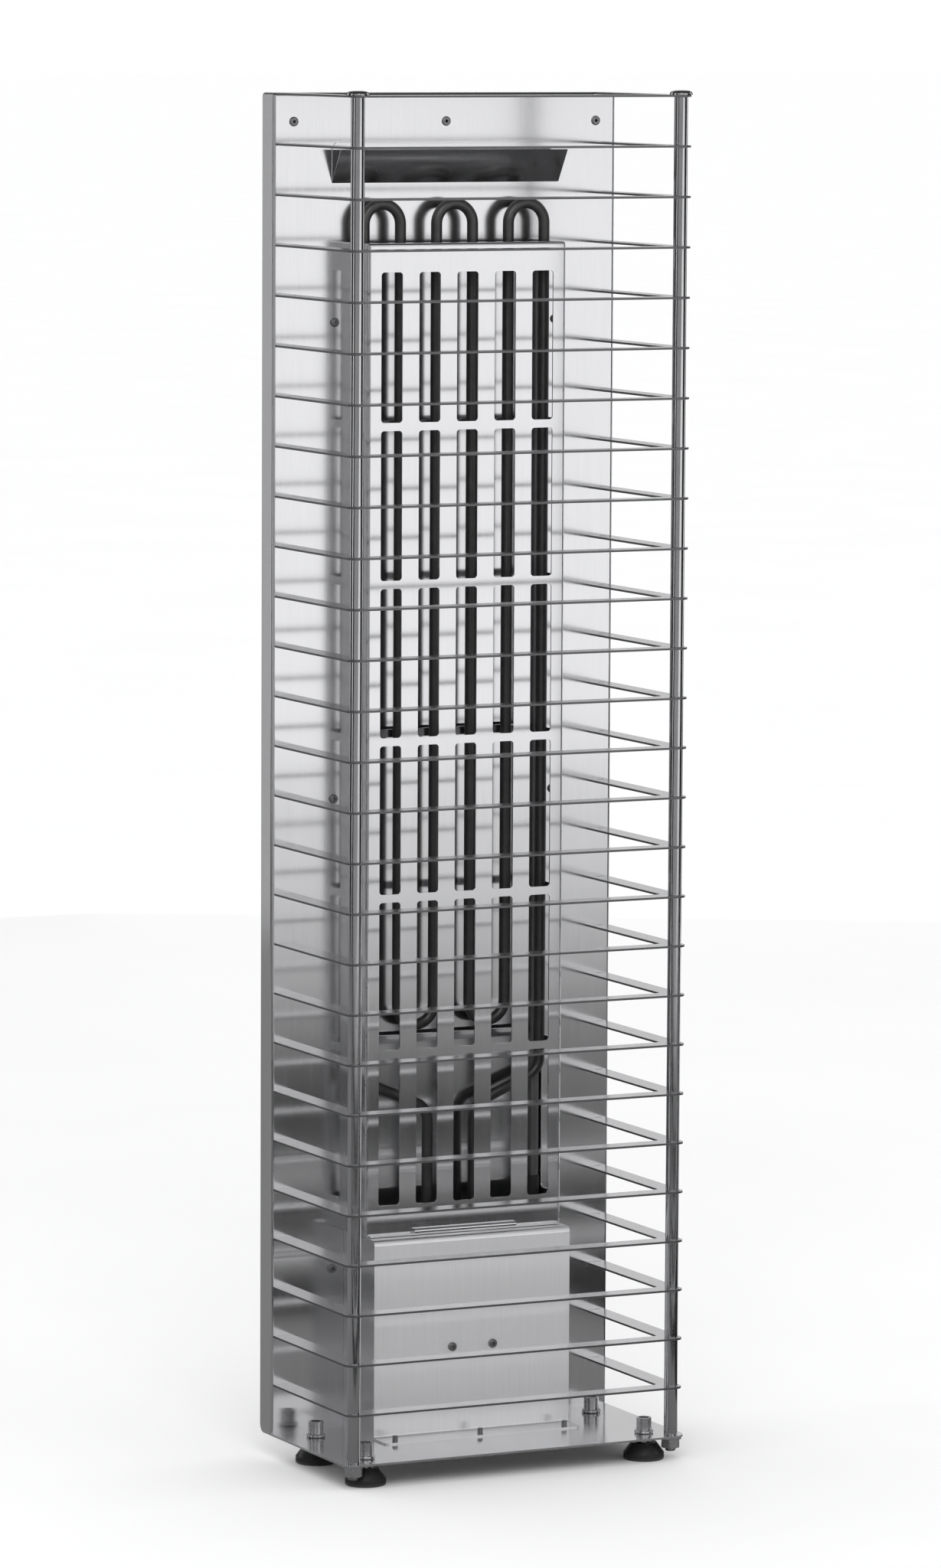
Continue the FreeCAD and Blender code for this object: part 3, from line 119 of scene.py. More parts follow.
class Graph:
    """The node tree of one material, with its Principled shader."""

    def __init__(self, name: str) -> None:
        """Make an empty material with a Principled shader at its output.

        Args:
            name: the material's name.
        """
        self.material = bpy.data.materials.new(name)
        self.material.use_nodes = True
        self.tree = self.material.node_tree
        self.tree.nodes.clear()
        self.shader = self.tree.nodes.new("ShaderNodeBsdfPrincipled")
        self.node("ShaderNodeOutputMaterial", {}, {"Surface": self.shader.outputs[0]})

    def node(self, kind: str, settings: dict, sockets: dict) -> bpy.types.Node:
        """Add a node.

        Args:
            kind: the node's type.
            settings: its properties, which are set first.
            sockets: the value or link of each input, by name or number.

        Returns:
            The new node.
        """
        node = self.tree.nodes.new(kind)
        for key, value in settings.items():
            setattr(node, key, value)
        for key, value in sockets.items():
            self.feed(node.inputs[key], value)
        return node

    def feed(self, target: bpy.types.NodeSocket, value: object) -> None:
        """Set an input to a constant, or link it.

        Args:
            target: the input.
            value: a constant, a wire or a node's output.
        """
        if isinstance(value, Wire):
            self.tree.links.new(value.socket, target)
        elif isinstance(value, bpy.types.NodeSocket):
            self.tree.links.new(value, target)
        else:
            target.default_value = value

    def surface(self, **inputs: object) -> None:
        """Set inputs of the Principled shader; an underscore in a name stands for a space."""
        for name, value in inputs.items():
            self.feed(self.shader.inputs[name.replace("_", " ")], value)

    def place(self) -> bpy.types.NodeSocket:
        """The point on the object, in metres in the heater's own frame."""
        return self.node("ShaderNodeTexCoord", {}, {}).outputs["Object"]

    def facing(self) -> tuple[Wire, Wire, Wire]:
        """How squarely the surface faces along each axis, either way.

        Returns:
            The sizes of the normal's X, Y and Z parts.
        """
        normal = self.node("ShaderNodeNewGeometry", {}, {}).outputs["True Normal"]
        split = self.node("ShaderNodeSeparateXYZ", {}, {0: normal})
        x, y, z = (abs(Wire(self, output)) for output in split.outputs)
        return x, y, z

    def stretched(self, point: bpy.types.NodeSocket, scale: Triple) -> bpy.types.NodeSocket:
        """A point with each coordinate multiplied by its own number."""
        return self.node("ShaderNodeVectorMath", {"operation": "MULTIPLY"}, {0: point, 1: scale}).outputs[0]

    def noise(self, point: bpy.types.NodeSocket, scale: float, detail: float) -> Wire:
        """A noise pattern's value at a point, from 0 to 1."""
        node = self.node("ShaderNodeTexNoise", {}, {"Vector": point, "Scale": scale, "Detail": detail})
        return Wire(self, node.outputs["Fac"])

    def blend(self, factor: Wire, first: object, second: object, kind: str = "RGBA") -> bpy.types.NodeSocket:
        """Two colours, or with kind VECTOR two vectors, mixed by a factor.

        Args:
            factor: 0 gives the first, 1 the second.
            first: a constant or a socket.
            second: a constant or a socket.
            kind: the Mix node's data type.

        Returns:
            The mixed output.
        """
        node = self.node("ShaderNodeMix", {"data_type": kind}, {"Factor": factor})
        inputs = [item for item in node.inputs if item.enabled and item.name in "AB"]
        self.feed(inputs[0], first)
        self.feed(inputs[1], second)
        return next(item for item in node.outputs if item.enabled)

    def relief(self, height: Wire, depth: float, strength: float) -> bpy.types.NodeSocket:
        """A bumped normal from a height pattern whose full range is a depth in metres."""
        node = self.node("ShaderNodeBump", {}, {"Height": height, "Distance": depth, "Strength": strength})
        return node.outputs["Normal"]


def opaque(colour: Colour, scale: float = 1.0) -> tuple[float, float, float, float]:
    """A colour, made darker or lighter, with full alpha."""
    red, green, blue = (min(1.0, part * scale) for part in colour)
    return red, green, blue, 1.0


# ------------------------------------------------------------------ finishes


class Grain(Enum):
    """The way that a sheet's brushed lines run."""

    UPRIGHT = "upright"
    ACROSS = "across"


@dataclass(frozen=True)
class BrushedSheet:
    """Brushed stainless sheet: fine parallel lines, cloudy marks from handling, specks and haze.

    Patterns are counted per metre. Haze is how far faces to the front and back scatter light.
    """

    name: str
    colour: Colour = (0.83, 0.83, 0.845)
    roughness: float = 0.14
    grain: Grain = Grain.UPRIGHT
    haze: float = 0.0
    stretch: float = 0.8
    lines: float = 2200.0
    run: float = 26.0
    streak: float = 0.11
    clouds: float = 9.0
    specks: float = 420.0
    darkest: float = 0.5
    lightest: float = 1.04
    base_shade: float = 0.62
    line_shade: float = 0.42
    streak_shade: float = 0.10
    cloud_shade: float = 0.10
    speck_shade: float = 0.06
    line_rough: float = 0.06
    streak_rough: float = 0.02
    cloud_rough: float = 0.06
    rough_range: tuple[float, float] = (0.08, 0.9)
    depth: float = 0.04 * MM
    strength: float = 0.16

    def along(self, graph: Graph, point: bpy.types.NodeSocket) -> bpy.types.NodeSocket:
        """The point, stretched so that noise at it makes lines along the grain.

        Args:
            graph: the material's graph.
            point: the point on the object.

        Returns:
            The stretched point.
        """
        if self.grain is Grain.ACROSS:
            return graph.stretched(point, (self.run, self.lines, self.lines))
        level = graph.facing()[2].over(edge=0.5, width=0.2)
        upright = graph.stretched(point, (self.lines, self.lines, self.run))
        lying = graph.stretched(point, (self.lines, self.run, self.run))
        return graph.blend(level, upright, lying, "VECTOR")

    def make(self) -> bpy.types.Material:
        """Build the material.

        Returns:
            The material.
        """
        graph = Graph(self.name)
        point = graph.place()
        along = self.along(graph, point)
        lines = graph.noise(along, 1.0, detail=3.0)
        streaks = graph.noise(along, self.streak, detail=2.0)
        clouds = graph.noise(point, self.clouds, detail=4.0)
        specks = graph.noise(point, self.specks, detail=1.0).over(edge=0.70, width=0.05)
        shade = (lines * self.line_shade + streaks * self.streak_shade + clouds * self.cloud_shade
                 + self.base_shade - specks * self.speck_shade)
        tint = graph.blend(shade.clamped(0.0, 1.0), opaque(self.colour, self.darkest),
                           opaque(self.colour, self.lightest))
        middle = (self.line_rough + self.streak_rough + self.cloud_rough) / 2
        rough = (lines * self.line_rough + streaks * self.streak_rough + clouds * self.cloud_rough
                 + (self.roughness - middle))
        front = graph.facing()[1].over(edge=0.5, width=0.3)
        graph.surface(Base_Color=tint, Roughness=rough.clamped(*self.rough_range), Metallic=1 - front * self.haze,
                      Anisotropic=self.stretch, Normal=graph.relief(lines, self.depth, self.strength))
        return graph.material


@dataclass(frozen=True)
class CutStrip:
    """Strip cut from brushed sheet: bright level faces, and side faces with painted shade and fine cutting lines.
    """

    name: str
    colour: Colour = (0.84, 0.84, 0.855)
    # painted shade: the strip's side faces take this dark colour in place of the shade they would catch
    edge: Colour = (0.24, 0.24, 0.245)
    roughness: float = 0.2
    edge_roughness: float = 0.42
    stretch: float = 0.3
    lines: Triple = (30.0, 2100.0, 2100.0)
    cuts: Triple = (2600.0, 2600.0, 140.0)
    clouds: float = 14.0
    face_range: tuple[float, float] = (0.9, 1.06)
    edge_shade_range: tuple[float, float] = (0.7, 1.25)
    line_rough: float = 0.08
    cloud_rough: float = 0.1
    rough_middle: float = 0.08
    rough_range: tuple[float, float] = (0.08, 0.9)
    depth: float = 0.05 * MM
    strength: float = 0.25

    def make(self) -> bpy.types.Material:
        """Build the material.

        Returns:
            The material.
        """
        graph = Graph(self.name)
        point = graph.place()
        level = graph.facing()[2].over(edge=0.6, width=0.2)
        lines = graph.noise(graph.stretched(point, self.lines), 1.0, detail=3.0)
        cuts = graph.noise(graph.stretched(point, self.cuts), 1.0, detail=2.0)
        clouds = graph.noise(point, self.clouds, detail=3.0)
        dark, light = (opaque(self.colour, share) for share in self.face_range)
        face = graph.blend((lines * 0.5 + clouds * 0.5).clamped(0.0, 1.0), dark, light)
        # painted shade on the side faces, lighter and darker along the cutting lines
        dark, light = (opaque(self.edge, share) for share in self.edge_shade_range)
        rim = graph.blend(cuts, dark, light)
        face_rough = lines * self.line_rough + clouds * self.cloud_rough + self.roughness - self.rough_middle
        rough = face_rough * level + (1 - level) * self.edge_roughness
        grooves = lines * level + cuts * (1 - level)
        graph.surface(Base_Color=graph.blend(level, rim, face), Roughness=rough.clamped(*self.rough_range),
                      Metallic=1.0, Anisotropic=self.stretch,
                      Normal=graph.relief(grooves, self.depth, self.strength))
        return graph.material


@dataclass(frozen=True)
class TurnedMetal:
    """Drawn or turned metal: fine lines along or round it, with faint blotches and small scratches."""

    name: str
    colour: Colour
    roughness: float
    lines: Triple = (900.0, 900.0, 12.0)
    scratches: Triple = (700.0, 700.0, 90.0)
    blotch: float = 60.0
    blotch_shade: float = 0.18
    metallic: float = 1.0
    line_rough: float = 0.1
    blotch_rough: float = 0.14
    scratch_rough: float = 0.08
    rough_range: tuple[float, float] = (0.05, 0.95)
    scratch_cut: float = 0.3
    depth: float = 0.04 * MM
    strength: float = 0.25

    def make(self) -> bpy.types.Material:
        """Build the material.

        Returns:
            The material.
        """
        graph = Graph(self.name)
        point = graph.place()
        lines = graph.noise(graph.stretched(point, self.lines), 1.0, detail=3.0)
        blotch = graph.noise(point, self.blotch, detail=4.0)
        scratch = graph.noise(graph.stretched(point, self.scratches), 1.0, detail=2.0)
        scratch = scratch.over(edge=0.66, width=0.04)
        shade = (lines * 0.5 + blotch * 0.5).clamped(0.0, 1.0)
        tint = graph.blend(shade, opaque(self.colour, 1 - self.blotch_shade),
                           opaque(self.colour, 1 + self.blotch_shade))
        middle = (self.line_rough + self.blotch_rough) / 2
        rough = (lines * self.line_rough + blotch * self.blotch_rough + scratch * self.scratch_rough
                 + (self.roughness - middle))
        grooves = lines - scratch * self.scratch_cut
        graph.surface(Base_Color=tint, Roughness=rough.clamped(*self.rough_range), Metallic=self.metallic,
                      Normal=graph.relief(grooves, self.depth, self.strength))
        return graph.material


@dataclass(frozen=True)
class Moulded:
    """Moulded plastic, rubber or ceramic: a fine skin texture, soft colour changes and dusty tops."""

    name: str
    colour: Colour
    roughness: float
    skin: float = 1400.0
    blotch: float = 55.0
    blotch_shade: float = 0.15
    dust: float = 0.06
    dust_colour: Colour = (0.5, 0.49, 0.47)
    skin_rough: float = 0.12
    blotch_rough: float = 0.15
    rough_middle: float = 0.13
    rough_range: tuple[float, float] = (0.05, 1.0)
    depth: float = 0.08 * MM
    strength: float = 0.3

    def make(self) -> bpy.types.Material:
        """Build the material.

        Returns:
            The material.
        """
        graph = Graph(self.name)
        point = graph.place()
        skin_texture = graph.noise(point, self.skin, detail=2.0)
        blotch = graph.noise(point, self.blotch, detail=4.0)
        level = graph.facing()[2].over(edge=0.4, width=0.5)
        dust = (blotch.over(edge=0.5, width=0.3) * level * self.dust).clamped(0.0, 1.0)
        plain = graph.blend(blotch, opaque(self.colour, 1 - self.blotch_shade),
                            opaque(self.colour, 1 + self.blotch_shade))
        rough = (skin_texture * self.skin_rough + blotch * self.blotch_rough + dust
                 + self.roughness - self.rough_middle)
        graph.surface(Base_Color=graph.blend(dust, plain, opaque(self.dust_colour)),
                      Roughness=rough.clamped(*self.rough_range), Metallic=0.0,
                      Normal=graph.relief(skin_texture, self.depth, self.strength))
        return graph.material


Finish = BrushedSheet | CutStrip | TurnedMetal | Moulded


class Finishes:
    """The finishes that the heater's pieces wear, each made once."""

    PLAN: ClassVar[dict[str, Finish]] = {
        "sheet_steel": BrushedSheet("brushed_sheet_upright"),
        "sheet_across": BrushedSheet("brushed_sheet_across", grain=Grain.ACROSS),
        "cover_steel": BrushedSheet("brushed_sheet_dull", (0.88, 0.88, 0.895), 0.24, haze=0.52),
        "cage_steel": CutStrip("cut_strip"),
        "post_steel": TurnedMetal("polished_tube", (0.64, 0.64, 0.655), 0.12),
        "fastener_steel": TurnedMetal("bright_zinc", (0.62, 0.62, 0.635), 0.27, (500.0, 500.0, 500.0)),
        "screw_steel": TurnedMetal("passivated_screw", (0.30, 0.30, 0.305), 0.34, (500.0, 500.0, 500.0)),
        "element_steel": TurnedMetal("oxidised_tube", (0.115, 0.113, 0.112), 0.40, (300.0, 300.0, 60.0),
                                     blotch=150.0, blotch_shade=0.35, metallic=0.85, strength=0.4),
        "sensor_steel": TurnedMetal("satin_tube", (0.30, 0.30, 0.305), 0.33),
        "black_rubber": Moulded("black_rubber", (0.022, 0.022, 0.022), 0.62),
        "block_plastic": Moulded("cream_ceramic", (0.78, 0.76, 0.70), 0.45),
        "limiter_plastic": Moulded("limiter_case", (0.09, 0.09, 0.09), 0.48),
        "button_plastic": Moulded("red_button", (0.52, 0.03, 0.025), 0.3),
        "gland_plastic": Moulded("gland_polyamide", (0.045, 0.045, 0.047), 0.42),
        "lead_sleeve": Moulded("silicone_sleeve", (0.70, 0.69, 0.65), 0.55),
        "foot_plastic": Moulded("foot_polyamide", (0.018, 0.018, 0.018), 0.36, dust=0.03),
    }

    def __init__(self) -> None:
        """Start with no material made."""
        self.made: dict[str, bpy.types.Material] = {}

    def of(self, name: str) -> bpy.types.Material:
        """The material of an entry of the plan.

        Args:
            name: the entry.

        Returns:
            Its material, the same one each time.
        """
        if name not in self.made:
            self.made[name] = self.PLAN[name].make()
        return self.made[name]

    def dress(self, name: str, *nodes: str) -> None:
        """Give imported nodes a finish.

        Args:
            name: the plan's entry.
            nodes: the nodes that wear it.
        """
        for node in nodes:
            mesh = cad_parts[node].data
            mesh.materials.clear()
            mesh.materials.append(self.of(name))
            LOG.info("%s: %s", node, name)


# ------------------------------------------------------------------ meshes


def ring(height: float, radius: Callable[[float], float], sides: int) -> Ring:
    """A closed ring of points round the Z axis, with a radius for each angle."""
    angles = [TURN * step / sides for step in range(sides)]
    return [Vector((radius(a) * math.cos(a), radius(a) * math.sin(a), height)) for a in angles]


def round_ring(height: float, radius: float, sides: int) -> Ring:
    """A circular ring."""
    return ring(height, lambda angle: radius, sides)


def hexagon_ring(height: float, flats: float, crown: float, sides: int) -> Ring:
    """A six-sided ring with clipped corners.

    Args:
        height: its height.
        flats: the distance between opposite flats.
        crown: how far out a corner may reach.
        sides: points round the ring.

    Returns:
        The ring.
    """
    sector = TURN / 6

    def radius(angle: float) -> float:
        """The hexagon's edge at an angle."""
        return min(crown, flats / 2 / math.cos(angle % sector - sector / 2))

    return ring(height, radius, sides)


def skin(name: str, rings: list[Ring], at: Vector, turn: Matrix | None = None, hollow: bool = False,
         crease: float = 0.6) -> bpy.types.Object:
    """Join rings of points into one closed skin.

    Args:
        name: the piece's name.
        rings: rings with the same number of points, in order along the skin.
        at: where the rings' origin goes.
        turn: a rotation of the rings before that.
        hollow: join the last ring to the first, as round a bore, instead of closing both ends.
        crease: edges that fold more than this angle stay sharp.

    Returns:
        The new object.
    """
    sides, rows = len(rings[0]), len(rings)
    move = Matrix.Translation(at) @ (turn or Matrix.Identity(4))
    points = [move @ point for row in rings for point in row]
    faces = []
    for row in range(rows if hollow else rows - 1):
        here, there = row * sides, (row + 1) % rows * sides
        for step in range(sides):
            after = (step + 1) % sides
            faces.append((here + step, here + after, there + after, there + step))
    if not hollow:
        faces.append(tuple(reversed(range(sides))))
        faces.append(tuple(range((rows - 1) * sides, rows * sides)))
    mesh = bpy.data.meshes.new(name)
    mesh.from_pydata(points, [], faces)
    mesh.validate()
    mesh.polygons.foreach_set("use_smooth", [True] * len(mesh.polygons))
    mesh.set_sharp_from_angle(angle=crease)
    mesh.update()
    piece = bpy.data.objects.new(name, mesh)
    bpy.context.scene.collection.objects.link(piece)
    return piece


@dataclass(frozen=True)
class Thread:
    """A screw thread cut into a round rod."""

    radius: float
    pitch: float
    depth: float
    steps: int = 8
    run_out: float = 0.4
    sharpness: float = 0.8

    def rings(self, low: float, high: float, sides: int) -> list[Ring]:
        """The thread's rings from one height to another, with a run-out at both ends.

        Args:
            low: the lower end.
            high: the upper end.
            sides: points round each ring.

        Returns:
            The rings, from the bottom.
        """
        count = max(2, round((high - low) / self.pitch * self.steps))
        rows = []
        for row in range(count + 1):
            height = low + (high - low) * row / count
            end = min(height - low, high - height) / self.pitch
            cut = self.depth * (self.run_out + (1 - self.run_out) * min(1.0, end * 2))

            def radius(angle: float, height: float = height, cut: float = cut) -> float:
                """The thread's flank at an angle."""
                phase = (height / self.pitch - angle / TURN) % 1.0
                return self.radius - cut * abs(2 * phase - 1) ** self.sharpness

            rows.append(ring(height, radius, sides))
        return rows


def settle(piece: bpy.types.Object, body: str, slot: str, material: bpy.types.Material,
           *stands_for: str) -> None:
    """Finish a new piece.

    Args:
        piece: the piece.
        body: the body that it rides on.
        slot: its material slot in the record.
        material: its material.
        stands_for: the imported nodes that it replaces.
    """
    piece.data.materials.append(material)
    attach(piece, body)
    if stands_for:
        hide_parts(*stands_for)
    LOG.info("%s: %s", piece.name, slot)


def soften(nodes: Iterable[str], width: float) -> None:
    """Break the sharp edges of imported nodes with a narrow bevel.

    Args:
        nodes: the nodes.
        width: the bevel's width.
    """
    for node in nodes:
        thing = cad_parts[node]
        weld = thing.modifiers.new("weld", "WELD")
        weld.merge_threshold = MERGE_DISTANCE
        bevel = thing.modifiers.new("bevel", "BEVEL")
        bevel.width = width
        bevel.segments = 2
        bevel.limit_method = "ANGLE"
        bevel.angle_limit = FOLD_ANGLE
        shading = thing.modifiers.new("shading", "WEIGHTED_NORMAL")
        shading.weight = 100
        shading.keep_sharp = False


# ------------------------------------------------------------------ the heater


@dataclass
class Sheetwork:
    """The folded panel and base, and what is fixed to the panel's front and back."""

    finishes: Finishes

    def build(self) -> None:
        """Dress the panel, rail, heat shield, deflector and their fixings."""
        self.finishes.dress("sheet_steel", "back_panel")
        self.finishes.dress("sheet_across", "hanging_rail", "rear_heat_shield", "air_deflector")
        self.finishes.dress("screw_steel", "rail_rivets", "shield_screws")


@dataclass
class Cage:
    """The strips that hold the stones, their posts, spacers, nuts and washers."""

    finishes: Finishes
    sides: int = 48
    rod: float = 4.0 * MM
    head: float = 8.4 * MM
    head_height: float = 3.4 * MM
    rim: float = 0.5 * MM
    dome_steps: int = 8
    dome_fullness: float = 0.55
    dome_flat: float = 0.3 * MM
    thread_length: float = 10.5 * MM
    end_chamfer: float = 0.8 * MM
    thread: Thread = Thread(4.0 * MM, 1.25 * MM, 0.62 * MM)
    bevel: float = 0.3 * MM

    def dome(self, base: float) -> list[Ring]:
        """The rings of a post's domed head.

        Args:
            base: the height of the head's underside.

        Returns:
            The rings, from the underside to the top.
        """
        rings = [round_ring(base, self.head, self.sides)]
        rise = self.head_height - self.rim
        for step in range(self.dome_steps + 1):
            angle = TURN / 4 * step / self.dome_steps
            rings.append(round_ring(base + self.rim + rise * math.sin(angle),
                                    max(self.head * math.cos(angle) ** self.dome_fullness, self.dome_flat),
                                    self.sides))
        return rings

    def post(self, side: str) -> bpy.types.Object:
        """One post: a threaded end, a plain rod and a domed head.

        Args:
            side: left or right.

        Returns:
            The new piece.
        """
        low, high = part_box(f"{side}_post")
        middle = (low + high) / 2
        head_low = high.z - self.head_height
        thread_top = low.z + self.thread_length
        rings = [round_ring(low.z, self.rod - self.end_chamfer, self.sides)]
        rings += self.thread.rings(low.z + self.end_chamfer, thread_top, self.sides)
        rings.append(round_ring(thread_top + self.thread.pitch / 4, self.rod, self.sides))
        rings.append(round_ring(head_low, self.rod, self.sides))
        rings += self.dome(head_low)
        return skin(f"{side}_post_rod", rings, Vector((middle.x, middle.y, 0.0)))

    def build(self) -> None:
        """Make the posts, and dress the strips, spacers and fasteners."""
        strips = sorted(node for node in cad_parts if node.startswith("cage_strip_"))
        self.finishes.dress("cage_steel", *strips)
        self.finishes.dress("post_steel", "post_spacers")
        self.finishes.dress("fastener_steel", "post_fasteners")
        soften(["post_spacers"], self.bevel)
        for side in SIDES:
            settle(self.post(side), "frame", "post_steel", self.finishes.of("post_steel"), f"{side}_post")


@dataclass
class Feet:
    """The four levelling feet and the inserts that they screw into."""

    finishes: Finishes
    sides: int = 48
    flats: float = 13.0 * MM
    crown: float = 7.25 * MM
    chamfer: float = 0.45 * MM
    chamfer_share: float = 0.97
    stud: float = 4.0 * MM
    nut_height: float = 3.9 * MM
    nut_low: float = 12.5 * MM
    neck: float = 0.2 * MM
    end_chamfer: float = 0.8 * MM
    thread: Thread = Thread(4.0 * MM, 1.25 * MM, 0.62 * MM)

    def stud_mesh(self, foot: str) -> bpy.types.Object:
        """One foot's stud: a plain root, a hexagon with chamfered corners and a threaded shank.

        Args:
            foot: the foot's name.

        Returns:
            The new piece.
        """
        low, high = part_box(f"foot_stud_{foot}")
        middle = (low + high) / 2
        nut_high = self.nut_low + self.nut_height
        face = self.flats / 2 * self.chamfer_share
        rings = [round_ring(low.z, self.stud, self.sides), round_ring(self.nut_low, self.stud, self.sides),
                 round_ring(self.nut_low, face, self.sides)]
        rings += [hexagon_ring(self.nut_low + self.chamfer, self.flats, self.crown, self.sides),
                  hexagon_ring(nut_high - self.chamfer, self.flats, self.crown, self.sides)]
        rings += [round_ring(nut_high, face, self.sides), round_ring(nut_high, self.stud, self.sides)]
        rings += self.thread.rings(nut_high + self.neck, high.z - self.end_chamfer, self.sides)
        rings.append(round_ring(high.z, self.stud - self.end_chamfer, self.sides))
        return skin(f"foot_screw_{foot}", rings, Vector((middle.x, middle.y, 0.0)))

    def build(self) -> None:
        """Make the studs, and dress the pads and inserts."""
        self.finishes.dress("fastener_steel", "foot_inserts")
        for foot in FEET:
            self.finishes.dress("foot_plastic", f"foot_pad_{foot}")
            settle(self.stud_mesh(foot), f"foot_{foot}", "fastener_steel", self.finishes.of("fastener_steel"),
                   f"foot_stud_{foot}")


@dataclass
class ElementTower:
    """The slotted housing, the element behind it with its brackets, and the sensor tube."""

    finishes: Finishes

    def build(self) -> None:
        """Dress the housing, element, brackets, bushings and sensor."""
        self.finishes.dress("sheet_steel", "element_housing")
        self.finishes.dress("sheet_across", "element_brackets")
        self.finishes.dress("element_steel", "heating_element")
        self.finishes.dress("fastener_steel", "element_bushings")
        self.finishes.dress("sensor_steel", "sensor_tube")
        self.finishes.dress("black_rubber", "sensor_sleeve")


@dataclass
class TerminalBox:
    """The box below the housing, its inner parts, and the cable gland behind it."""

    finishes: Finishes
    sides: int = 144
    panel_back: float = 58.65 * MM
    shank: float = 10.0 * MM
    hexagon: float = 23.4 * MM
    crown: float = 13.3 * MM
    chamfer: float = 0.6 * MM
    inner_face: float = 11.6 * MM
    outer_face: float = 11.4 * MM
    collar_height: float = 6.3 * MM
    nose: float = 10.2 * MM
    ribs: int = 18
    rib_depth: float = 0.5 * MM
    rib_start: float = 0.4 * MM
    rib_stop: float = 2.4 * MM
    start_flare: float = 0.5 * MM
    stop_flare: float = 0.3 * MM
    dome_drop: float = 1.0 * MM
    dome_step: float = 1.4 * MM
    lip: float = 6.6 * MM
    bore: float = 4.75 * MM
    crease: float = 0.5

    def ribbed(self, height: float, radius: float) -> Ring:
        """A ring round the domed nut, with its grip ribs."""
        return ring(height, lambda angle: radius - self.rib_depth * (0.5 + 0.5 * math.cos(angle * self.ribs)),
                    self.sides)

    def gland(self) -> bpy.types.Object:
        """The gland: a plain shank through the panel, a hexagon and a ribbed domed nut outside.

        Returns:
            The new piece.
        """
        low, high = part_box("cable_gland")
        middle = (low + high) / 2
        start, end = low.y, high.y
        back = self.panel_back
        nut = back + self.collar_height
        rings = [round_ring(start, self.shank, self.sides),
                 round_ring(back, self.shank, self.sides),
                 round_ring(back, self.inner_face, self.sides),
                 hexagon_ring(back + self.chamfer, self.hexagon, self.crown, self.sides),
                 hexagon_ring(nut - self.chamfer, self.hexagon, self.crown, self.sides),
                 round_ring(nut, self.outer_face, self.sides),
                 round_ring(nut, self.shank, self.sides),
                 self.ribbed(nut + self.rib_start, self.nose + self.start_flare),
                 self.ribbed(end - self.rib_stop, self.nose + self.stop_flare),
                 round_ring(end - self.dome_drop, self.nose - self.dome_step, self.sides),
                 round_ring(end, self.lip, self.sides),
                 round_ring(end, self.bore, self.sides),
                 round_ring(start, self.bore, self.sides)]
        turn = Matrix.Rotation(-TURN / 4, 4, "X")
        return skin("cable_gland_nut", rings, Vector((middle.x, 0.0, middle.z)), turn, hollow=True,
                    crease=self.crease)

    def build(self) -> None:
        """Make the gland, and dress the box and its contents."""
        self.finishes.dress("cover_steel", "terminal_cover", "terminal_chassis")
        self.finishes.dress("screw_steel", "terminal_cover_screws")
        self.finishes.dress("block_plastic", "terminal_block")
        self.finishes.dress("limiter_plastic", "limiter_body")
        self.finishes.dress("button_plastic", "limiter_button")
        self.finishes.dress("lead_sleeve", "internal_leads")
        settle(self.gland(), "frame", "gland_plastic", self.finishes.of("gland_plastic"), "cable_gland")


# ------------------------------------------------------------------ the studio


@dataclass(frozen=True)
class FloorCard:
    """A card on the floor: how near and far in front of the heater, its grey, and its ends."""

    near: float
    far: float
    grey: float
    left: float = -4.0
    right: float = 6.0
    lift: float = 0.002

    def corners(self) -> list[Triple]:
        """The card's corners in order."""
        return [(self.left, -self.far, self.lift), (self.right, -self.far, self.lift),
                (self.right, -self.near, self.lift), (self.left, -self.near, self.lift)]


@dataclass(frozen=True)
class SideCard:
    """An upright card: two angles from the camera's direction, its grey, and where it stands."""

    start: float
    stop: float
    grey: float
    away: float = 3.2
    low: float = 0.0
    high: float = 2.6

    def corners(self, heading: float) -> list[Triple]:
        """The card's corners in order.

        Args:
            heading: the camera's direction from the heater, as an angle round Z.

        Returns:
            The four corners.
        """
        (x0, y0), (x1, y1) = ((self.away * math.cos(heading + math.radians(angle)),
                               self.away * math.sin(heading + math.radians(angle)))
                              for angle in (self.start, self.stop))
        return [(x0, y0, self.low), (x1, y1, self.low), (x1, y1, self.high), (x0, y0, self.high)]


